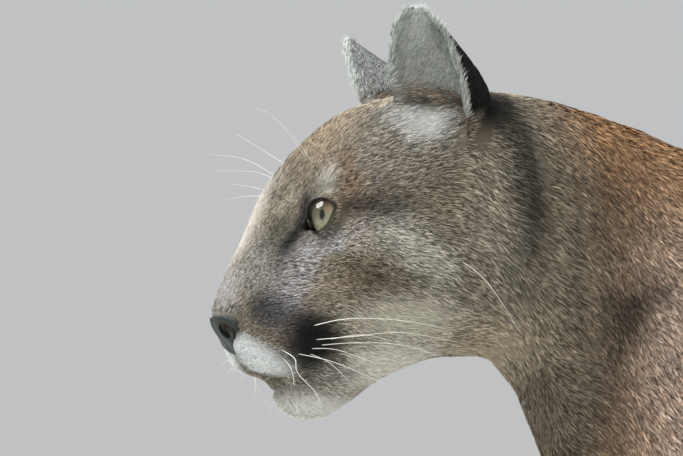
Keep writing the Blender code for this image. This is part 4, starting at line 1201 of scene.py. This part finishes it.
@dataclass
class Whiskers:
    """Whiskers of the lip, cheek and brow, and short bristles on the lip's front and the chin."""

    head: Head
    skin: bpy.types.Object
    radius: float = 0.00034
    sides: int = 5
    sink: float = 0.002
    limit: float = -0.1640
    lip: Paths = (
        ((62, 45, 65), (117, 69, 85), (151, 78, 87)),
        ((57, 45, 61), (83, 57, 66), (117, 69, 64), (153, 80, 56)),
        ((60, 45, 52), (89, 58, 54), (117, 68, 56), (153, 79, 49)), ((70, 45, 50), (95, 56, 54), (118, 66, 48)),
        ((66, 45, 45), (90, 56, 47), (117, 67, 46), (142, 75, 39)), ((59, 45, 43), (77, 53, 43), (99, 63, 35)),
        ((49, 45, 39), (75, 57, 33), (108, 70, 18)), ((62, 45, 35), (74, 51, 31), (86, 58, 19)),
        ((37, 40, 47), (46, 51, 39), (47, 55, 29), (58, 62, 15), (60, 66, 5)),
        ((39, 40, 37), (44, 49, 29), (45, 54, 18)),
    )
    cheek: Paths = (
        ((135, 78, 117), (155, 85, 106)), ((144, 78, 108), (163, 84, 97), (176, 90, 81), (191, 96, 55)),
    )
    near_brow: Paths = (
        ((52, 30, 187), (29, 43, 211), (15, 47, 214)),
        ((56, 30, 184), (40, 44, 200), (30, 50, 206)),
    )
    far_brow: Paths = (
        ((46, 30, 188), (34, 36, 198), (25, 42, 206)),
        ((44, 30, 177), (26, 40, 190), (10, 47, 191)),
        ((47, 30, 173), (33, 38, 180), (13, 46, 179)),
        ((45, 30, 165), (34, 35, 168), (24, 40, 169)),
        ((46, 30, 162), (32, 37, 162), (19, 43, 158)),
        ((41, 30, 154), (36, 33, 150), (32, 36, 143)),
    )

    def build(self, material: bpy.types.Material) -> None:
        """Makes the whiskers of both sides and the bristles, each lot one piece."""
        mesh = self.skin.data
        points = turned(points_of(mesh), self.head.matrix().inverted())
        self.tree = BVHTree.FromPolygons(points.tolist(), [tuple(face.vertices) for face in mesh.polygons])
        for side in Side:
            paths = []
            brow = self.near_brow if side is Side.LEFT else self.far_brow
            for path in self.lip + self.cheek + brow:
                paths.append((self._rooted(path, side), 0.5 if path in brow else 0.9))
            finished(self._tubes(f"whiskers_{side.word}", paths), material, "head_coat")
        finished(self._tubes("bristles", self._bristles()), material, "head_coat")

    def _rooted(self, path: tuple, side: Side) -> Array:
        """A whisker's path in metres with its root brought on to the skin."""
        way = np.array(path, float) * MM * (1, side.value, 1)
        place, normal, _, _ = self.tree.find_nearest(Vector(way[0]))
        shift = np.array(place - normal * self.sink) - way[0]
        fade = np.linspace(1.0, 0.3, len(way))[:, None]
        way = way + shift * fade
        world = turned(way, self.head.matrix())
        world[:, 1] = np.maximum(world[:, 1], self.limit)
        return world

    def _bristles(self) -> list[tuple[Array, float]]:
        """Short stiff hairs that stand forward and down from the lip and the chin."""
        rng = np.random.default_rng(31)
        paths = []
        for height, low, high, way in ((34, 12, 34, (-0.8, 0.25, -0.5)), (12, 4, 30, (-0.7, 0.3, -0.7))):
            for _ in range(26):
                side = rng.choice([-1, 1])
                out = rng.uniform(low, high)
                start = Vector((-0.02, side * out * MM, (height + rng.uniform(-9, 9)) * MM))
                place, normal, _, _ = self.tree.ray_cast(start, Vector((1, 0, 0)))
                if place is None:
                    continue
                turn = np.array(way) * (1, side, 1) + rng.normal(0, 0.22, 3) + np.array(normal) * 0.4
                turn /= np.linalg.norm(turn)
                reach = rng.uniform(5.0, 11.0) * MM
                root = np.array(place) - np.array(normal) * self.sink
                bend = np.array([0.15, 0, -0.25]) * reach * 0.4
                line = np.array([root, root + turn * reach * 0.6, root + turn * reach + bend])
                paths.append((turned(line, self.head.matrix()), 0.55))
        return paths

    def _tubes(self, name: str, paths: list[tuple[Array, float]]) -> bpy.types.Object:
        """Tapered closed tubes along the paths, joined.

        Args:
            name: The piece's name.
            paths: Each path's points in the world and the share of the full radius at its root.

        Returns:
            The piece.
        """
        angle = np.arange(self.sides) * 2 * math.pi / self.sides
        points, faces, start = [], [], 0
        for path, share in paths:
            line = open_curve(path, 4 * (len(path) - 1) + 1)
            along = unit(np.gradient(line, axis=0))
            one = unit(np.cross(along, [[0.31, 0.87, 0.38]]))
            two = np.cross(along, one)
            thick = self.radius * share * np.linspace(1.0, 0.22, len(line))
            ring = one[:, None] * np.cos(angle)[None, :, None] + two[:, None] * np.sin(angle)[None, :, None]
            tube = line[:, None] + ring * thick[:, None, None]
            points.append(np.concatenate([tube.reshape(-1, 3), line[:1], line[-1:]]))
            last = (len(line) - 1) * self.sides
            root, tip = len(line) * self.sides, len(line) * self.sides + 1
            for step in range(self.sides):
                after = (step + 1) % self.sides
                for row in range(0, last, self.sides):
                    faces.append((start + row + step, start + row + after, start + row + self.sides + after))
                    faces.append((start + row + step, start + row + self.sides + after,
                                  start + row + self.sides + step))
                faces.append((start + root, start + after, start + step))
                faces.append((start + tip, start + last + step, start + last + after))
            start += tip + 1
        return new_piece(name, mesh_of(name, np.concatenate(points), np.array(faces)))


def open_curve(path: Array, count: int) -> Array:
    """Points at even steps on a smooth curve through a path's points."""
    ends = np.concatenate([[2 * path[0] - path[1]], path, [2 * path[-1] - path[-2]]])
    steps = np.linspace(0, len(path) - 1.000001, count)
    index = steps.astype(int)
    t = (steps - index)[:, None]
    return bent([ends[index + k] for k in range(4)], t)


class Recipe:
    """A short hand for building node trees."""

    def __init__(self, tree: bpy.types.NodeTree) -> None:
        """Takes the tree that it adds to."""
        self.tree = tree

    def add(self, kind: str, inputs: dict | None = None, **settings) -> bpy.types.Node:
        """Adds a node.

        Args:
            kind: The node's type.
            inputs: Values or sockets for its inputs, by name or number.
            settings: Its other settings.

        Returns:
            The node.
        """
        node = self.tree.nodes.new(kind)
        for name, value in settings.items():
            setattr(node, name, value)
        for key, value in (inputs or {}).items():
            socket = node.inputs[key]
            if isinstance(value, bpy.types.NodeSocket):
                self.tree.links.new(value, socket)
            else:
                socket.default_value = value
        return node

    def math(self, operation: str, one: object, two: object = 0.0) -> bpy.types.NodeSocket:
        """A sum or the like."""
        return self.add("ShaderNodeMath", {0: one, 1: two}, operation=operation).outputs[0]

    def mix(self, share: object, one: object, two: object, blend: str = "MIX") -> bpy.types.NodeSocket:
        """Two colours mixed."""
        node = self.add("ShaderNodeMix", {0: share, 6: one, 7: two}, data_type="RGBA", blend_type=blend)
        return node.outputs[2]

    def ramp(self, value: object, low: float, high: float) -> bpy.types.NodeSocket:
        """A soft passage from 0 at low to 1 at high."""
        inputs = {"Value": value, "From Min": low, "From Max": high}
        return self.add("ShaderNodeMapRange", inputs, interpolation_type="SMOOTHSTEP").outputs[0]

    def vector(self, operation: str, one: object, two: object = None) -> bpy.types.NodeSocket:
        """A sum of vectors or the like, or the number that the operation gives."""
        inputs = {0: one} if two is None else {0: one, 1: two}
        node = self.add("ShaderNodeVectorMath", inputs, operation=operation)
        return node.outputs["Value" if operation in ("LENGTH", "DOT_PRODUCT") else "Vector"]

    def grey(self, level: object) -> bpy.types.NodeSocket:
        """A grey of a level."""
        return self.add("ShaderNodeCombineColor", {0: level, 1: level, 2: level}).outputs[0]


def full(red: int, green: int, blue: int) -> tuple[float, float, float, float]:
    """A screen colour as a node socket takes it."""
    return (*linear(red, green, blue), 1.0)


def new_group(name: str, inputs: dict[str, str], output: str) -> tuple[bpy.types.NodeTree, Recipe, object]:
    """A node group with named sockets.

    Args:
        name: The group's name.
        inputs: The kind of each input, by its name, in order.
        output: The output's name; it is a colour if it is called Color, or else a number.

    Returns:
        The group, the recipe that adds to it and the sockets of what it is given.
    """
    group = bpy.data.node_groups.new(name, "ShaderNodeTree")
    for title, kind in inputs.items():
        group.interface.new_socket(title, in_out="INPUT", socket_type=f"NodeSocket{kind}")
    kind = "Color" if output == "Color" else "Float"
    group.interface.new_socket(output, in_out="OUTPUT", socket_type=f"NodeSocket{kind}")
    work = Recipe(group)
    return group, work, work.add("NodeGroupInput").outputs


def uneven_group() -> bpy.types.NodeTree:
    """The shared group that makes a colour a little uneven, as grown things are."""
    kinds = {"Place": "Vector", "Color": "Color", "Scale": "Float", "Amount": "Float"}
    group, work, given = new_group("uneven", kinds, "Color")
    noise = work.add("ShaderNodeTexNoise", {"Vector": given["Place"], "Scale": given["Scale"], "Detail": 3.0})
    swing = work.math("MULTIPLY", work.math("SUBTRACT", noise.outputs[0], 0.5), given["Amount"])
    level = work.math("ADD", work.math("MULTIPLY", swing, 2.0), 1.0)
    result = work.mix(1.0, given["Color"], work.grey(level), "MULTIPLY")
    work.add("NodeGroupOutput", {"Color": result})
    return group


def relief_group() -> bpy.types.NodeTree:
    """The shared group that gives a fine pebbled relief."""
    kinds = {"Place": "Vector", "Scale": "Float", "Grain": "Float"}
    group, work, given = new_group("relief", kinds, "Height")
    place, scale, grain = given["Place"], given["Scale"], given["Grain"]
    cells = work.add("ShaderNodeTexVoronoi", {"Vector": place, "Scale": scale}, feature="SMOOTH_F1")
    finer = work.math("MULTIPLY", scale, 1.7)
    noise = work.add("ShaderNodeTexNoise", {"Vector": place, "Scale": finer, "Detail": 4.0})
    pebbles = work.math("MULTIPLY", work.math("SUBTRACT", 1.0, cells.outputs["Distance"]),
                        work.math("SUBTRACT", 1.0, grain))
    height = work.math("ADD", pebbles, work.math("MULTIPLY", noise.outputs[0], grain))
    work.add("NodeGroupOutput", {"Height": height})
    return group


def new_material(name: str) -> tuple[bpy.types.Material, Recipe, bpy.types.Node]:
    """A material, the recipe that adds to it and its shader."""
    material = bpy.data.materials.new(name)
    material.use_nodes = True
    return material, Recipe(material.node_tree), material.node_tree.nodes["Principled BSDF"]


@dataclass(frozen=True)
class Finish:
    """A surface: its own colour or painted one, and how rough and glossy it is."""

    name: str
    colour: tuple[int, int, int] | None = None
    painted: str = ""
    shade: float = 1.0
    uneven_scale: float = 200.0
    uneven: float = 0.10
    relief_scale: float = 1500.0
    grain: float = 1.0
    relief: float = 0.0001
    roughness: float = 0.6
    specular: float = 0.3
    coat: float = 0.0
    coat_roughness: float = 0.2

    def build(self, uneven: bpy.types.NodeTree, relief: bpy.types.NodeTree) -> bpy.types.Material:
        """Makes the material.

        Args:
            uneven: The group that makes colours uneven.
            relief: The group that gives the relief.

        Returns:
            The material.
        """
        material, work, shader = new_material(self.name)
        place = work.add("ShaderNodeTexCoord").outputs["Object"]
        if self.painted:
            colour = work.add("ShaderNodeAttribute", attribute_name=self.painted).outputs["Color"]
            level = (self.shade, self.shade, self.shade, 1.0)
            colour = work.mix(1.0, colour, level, "MULTIPLY") if self.shade < 1.0 else colour
        else:
            colour = full(*self.colour)
        inputs = {"Place": place, "Color": colour, "Scale": self.uneven_scale, "Amount": self.uneven}
        toned = work.add("ShaderNodeGroup", inputs, node_tree=uneven)
        work.tree.links.new(toned.outputs[0], shader.inputs["Base Color"])
        inputs = {"Place": place, "Scale": self.relief_scale, "Grain": self.grain}
        bumps = work.add("ShaderNodeGroup", inputs, node_tree=relief)
        inputs = {"Height": bumps.outputs[0], "Distance": self.relief, "Strength": 1.0}
        bump = work.add("ShaderNodeBump", inputs)
        work.tree.links.new(bump.outputs[0], shader.inputs["Normal"])
        shader.inputs["Roughness"].default_value = self.roughness
        shader.inputs["Specular IOR Level"].default_value = self.specular
        shader.inputs["Coat Weight"].default_value = self.coat
        shader.inputs["Coat Roughness"].default_value = self.coat_roughness
        return material


@dataclass(frozen=True)
class IrisFinish:
    """The eyeball: an upright oval pupil, a streaked pale iris with painted shade from the upper lid over its
    top, a dark rim and dark sclera.
    """

    pupil: tuple[float, float] = (0.0027, 0.0037)
    radius: float = 0.0129
    pale: tuple[int, int, int] = (120, 119, 96)
    inner: tuple[int, int, int] = (104, 98, 70)
    tan: tuple[int, int, int] = (116, 86, 56)
    # The rim's colour also serves as the painted shade that the upper lid casts on the iris
    rim: tuple[int, int, int] = (30, 28, 22)
    sclera: tuple[int, int, int] = (26, 21, 18)

    def build(self) -> bpy.types.Material:
        """Makes the material."""
        material, work, shader = new_material("eyeball")
        place = work.add("ShaderNodeAttribute", attribute_name="eye_place").outputs["Vector"]
        flat = work.vector("MULTIPLY", place, (1.0, 1.0, 0.0))
        away = work.vector("LENGTH", flat)
        scaled = work.vector("MULTIPLY", flat, (1 / self.pupil[0], 1 / self.pupil[1], 0.0))
        from_pupil = work.vector("LENGTH", scaled)
        far = work.add("ShaderNodeCombineXYZ", {2: work.math("MULTIPLY", away, 26.0)}).outputs[0]
        spread = work.vector("ADD", work.vector("NORMALIZE", flat), far)
        inputs = {"Vector": spread, "Scale": 11.0, "Detail": 5.0, "Roughness": 0.65}
        streaks = work.add("ShaderNodeTexNoise", inputs).outputs[0]
        colour = work.mix(work.ramp(from_pupil, 1.0, 1.9), full(*self.inner), full(*self.pale))
        slope = work.vector("DOT_PRODUCT", flat, (0.45 / self.radius, 0.9 / self.radius, 0.0))
        colour = work.mix(work.math("MULTIPLY", work.ramp(slope, 0.1, 0.8), 0.8), colour, full(*self.tan))
        # Painted shade from the upper lid: the iris is darkened towards its top
        height = work.vector("DOT_PRODUCT", flat, (0.0, 1.0 / self.radius, 0.0))
        shaded = work.math("MULTIPLY", work.ramp(height, 0.25, 0.85), 0.8)
        colour = work.mix(shaded, colour, full(*self.rim))
        level = work.math("ADD", work.math("MULTIPLY", streaks, 0.9), 0.50)
        colour = work.mix(1.0, colour, work.grey(level), "MULTIPLY")
        colour = work.mix(work.ramp(away, self.radius * 0.86, self.radius * 0.99), colour, full(*self.rim))
        colour = work.mix(work.ramp(from_pupil, 1.04, 0.94), colour, (0.002, 0.002, 0.002, 1.0))
        colour = work.mix(work.ramp(away, self.radius * 0.99, self.radius * 1.03), colour, full(*self.sclera))
        work.tree.links.new(colour, shader.inputs["Base Color"])
        bump = work.add("ShaderNodeBump", {"Height": streaks, "Distance": 0.0002, "Strength": 0.6})
        work.tree.links.new(bump.outputs[0], shader.inputs["Normal"])
        shader.inputs["Roughness"].default_value = 0.35
        shader.inputs["Specular IOR Level"].default_value = 0.1
        return material


@dataclass(frozen=True)
class CorneaFinish:
    """A clear wet dome that only mirrors, more so at its edges."""

    least: float = 0.045
    most: float = 0.35

    def build(self) -> bpy.types.Material:
        """Makes the material."""
        material, work, shader = new_material("cornea")
        facing = work.add("ShaderNodeLayerWeight", {"Blend": 0.25}).outputs["Facing"]
        steep = work.math("POWER", facing, 3.0)
        mirror = work.math("ADD", work.math("MULTIPLY", steep, self.most), self.least)
        work.tree.links.new(mirror, shader.inputs["Alpha"])
        shader.inputs["Base Color"].default_value = (1.0, 1.0, 1.0, 1.0)
        shader.inputs["Metallic"].default_value = 1.0
        shader.inputs["Roughness"].default_value = 0.03
        return material


class Finishes:
    """All the materials of the animal and the floor."""

    def __init__(self) -> None:
        """Builds the shared groups, then each finish."""
        uneven, relief = uneven_group(), relief_group()
        self.coat = Finish("coat", painted="coat_colour", uneven=0.10, roughness=0.58, specular=0.22,
                           relief=0.00005).build(uneven, relief)
        self.skin = Finish("skin_under_coat", painted="coat_colour", shade=0.55, uneven=0.25,
                           uneven_scale=500.0, relief=0.0004, relief_scale=900.0, roughness=0.8,
                           specular=0.1).build(uneven, relief)
        self.nose = Finish("nose_leather", painted="leather_tone", uneven=0.3, uneven_scale=160.0, grain=0.35,
                           relief=0.0005, relief_scale=850.0, roughness=0.45, specular=0.22, coat=0.05,
                           coat_roughness=0.3).build(uneven, relief)
        self.lid = Finish("lid_edge", colour=(17, 14, 12), uneven=0.3, uneven_scale=300.0, relief=0.0002,
                          roughness=0.4, specular=0.5, coat=0.3, coat_roughness=0.15).build(uneven, relief)
        self.whisker = Finish("whisker", colour=(224, 222, 214), uneven=0.08, relief=0.00002,
                              roughness=0.35, specular=0.5).build(uneven, relief)
        self.floor = Finish("pale_floor", colour=(206, 206, 203), uneven=0.02, uneven_scale=3.0, relief=0.0003,
                            relief_scale=300.0, roughness=0.7, specular=0.2).build(uneven, relief)
        self.eye = IrisFinish().build()
        self.cornea = CorneaFinish().build()


@dataclass
class Studio:
    """The floor, the soft lights on all sides and the camera at the photograph's angle."""

    head: Head
    azimuth: float = math.radians(18.0)
    elevation: float = math.radians(-3.0)
    distance: float = 3.2
    metres_per_pixel: float = 0.00068
    nose_column: float = 207.0
    middle_row: float = 228.0
    chin_row: float = 422.0
    image: tuple[int, int] = (683, 456)

    def build(self, floor: bpy.types.Material) -> None:
        """Sets the stage."""
        right = Vector((math.cos(self.azimuth), math.sin(self.azimuth), 0.0))
        ahead = Vector((-math.sin(self.azimuth) * math.cos(self.elevation),
                        math.cos(self.azimuth) * math.cos(self.elevation), math.sin(-self.elevation)))
        up = right.cross(ahead)
        nose = self.head.nose()
        across = (self.image[0] / 2 - self.nose_column) * self.metres_per_pixel
        rise = (self.chin_row - self.middle_row) * self.metres_per_pixel
        target = nose + right * across + up * rise
        self._camera(target - ahead * self.distance, right, ahead, up)
        self._floor(floor)
        self._lights(target, right, ahead)

    def _camera(self, place: Vector, right: Vector, ahead: Vector, up: Vector) -> None:
        """The camera."""
        data = bpy.data.cameras.new("camera")
        data.sensor_width = 36.0
        data.lens = 36.0 * self.distance / (self.image[0] * self.metres_per_pixel)
        data.clip_end = 100.0
        camera = bpy.data.objects.new("camera", data)
        bpy.context.scene.collection.objects.link(camera)
        turn = Matrix((right, up, -ahead)).transposed().to_4x4()
        camera.matrix_world = Matrix.Translation(place) @ turn
        bpy.context.scene.camera = camera

    def _floor(self, material: bpy.types.Material) -> None:
        """A wide pale floor."""
        bpy.ops.object.select_all(action="DESELECT")
        bpy.ops.mesh.primitive_plane_add(size=30.0)
        floor = bpy.context.view_layer.objects.active
        floor.name = floor.data.name = "floor"
        floor.data.materials.append(material)

    def _lights(self, target: Vector, right: Vector, ahead: Vector) -> None:
        """Large soft lights round the animal, the brightest from the upper left of the picture."""
        middle = Vector((0.0, 0.0, 0.45))
        high = Vector((0, 0, 1))
        lamps = (
            ("key", target, -right * 1.8 + high * 1.8 - ahead * 0.2, 1.5, 78.0),
            ("front", target, -right * 1.0 + high * 1.2 - ahead * 2.8, 2.4, 34.0),
            ("fill", middle, right * 2.6 + high * 1.0 - ahead * 2.2, 2.4, 22.0),
            ("far", middle, ahead * 2.8 + high * 1.4, 2.6, 40.0),
            ("tail", middle, right * 2.6 + ahead * 1.6 + high * 1.3, 2.4, 30.0),
            ("above", target * 0.6, high * 3.0, 2.6, 120.0),
        )
        for name, aim, away, size, power in lamps:
            data = bpy.data.lights.new(name, "AREA")
            data.shape, data.size, data.energy = "DISK", size, power
            lamp = bpy.data.objects.new(name, data)
            bpy.context.scene.collection.objects.link(lamp)
            lamp.visible_glossy = name == "key"
            lamp.location = aim + away
            lamp.rotation_euler = (-away).to_track_quat("-Z", "Y").to_euler()
        world = bpy.data.worlds.new("studio")
        world.use_nodes = True
        world.node_tree.nodes["Background"].inputs["Color"].default_value = (0.80, 0.81, 0.82, 1.0)
        world.node_tree.nodes["Background"].inputs["Strength"].default_value = 0.66
        bpy.context.scene.world = world
        bpy.context.scene.view_settings.view_transform = "Standard"


FLESH = (
    "head", "neck", "torso", "hindquarters", "tail_base", "tail_middle", "tail_tip",
    "front_leg_left", "front_leg_right", "hind_leg_left", "hind_leg_right",
    "front_paw_left", "front_paw_right", "hind_paw_left", "hind_paw_right", "ear_left", "ear_right",
)


def corners(box: tuple) -> list[list[float]]:
    """A box as plain lists."""
    return [[float(value) for value in corner] for corner in box]


def main() -> None:
    """Builds the skin, the coat and the parts of the face, then the studio."""
    logging.basicConfig(level=logging.INFO, format="%(message)s")
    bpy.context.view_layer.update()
    head = Head()
    finishes = Finishes()
    skin = Skin(head, FLESH + ("nose", "eye_left", "eye_right"))
    item = skin.build()
    nose = NoseLeather(head).build(finishes.nose)
    here = Places(head, points_of(item.data), normals_of(item.data))
    paint(item.data, "coat_colour", coat_colour(head, here))
    finished(item, finishes.skin, "body_coat", *FLESH)
    Coat(head, item, skin.bare(nose)).build(finishes.coat)
    Eyes(head, skin).build(finishes)
    Whiskers(head, item).build(finishes.whisker)
    Studio(head).build(finishes.floor)


if __name__ == "__main__":
    main()
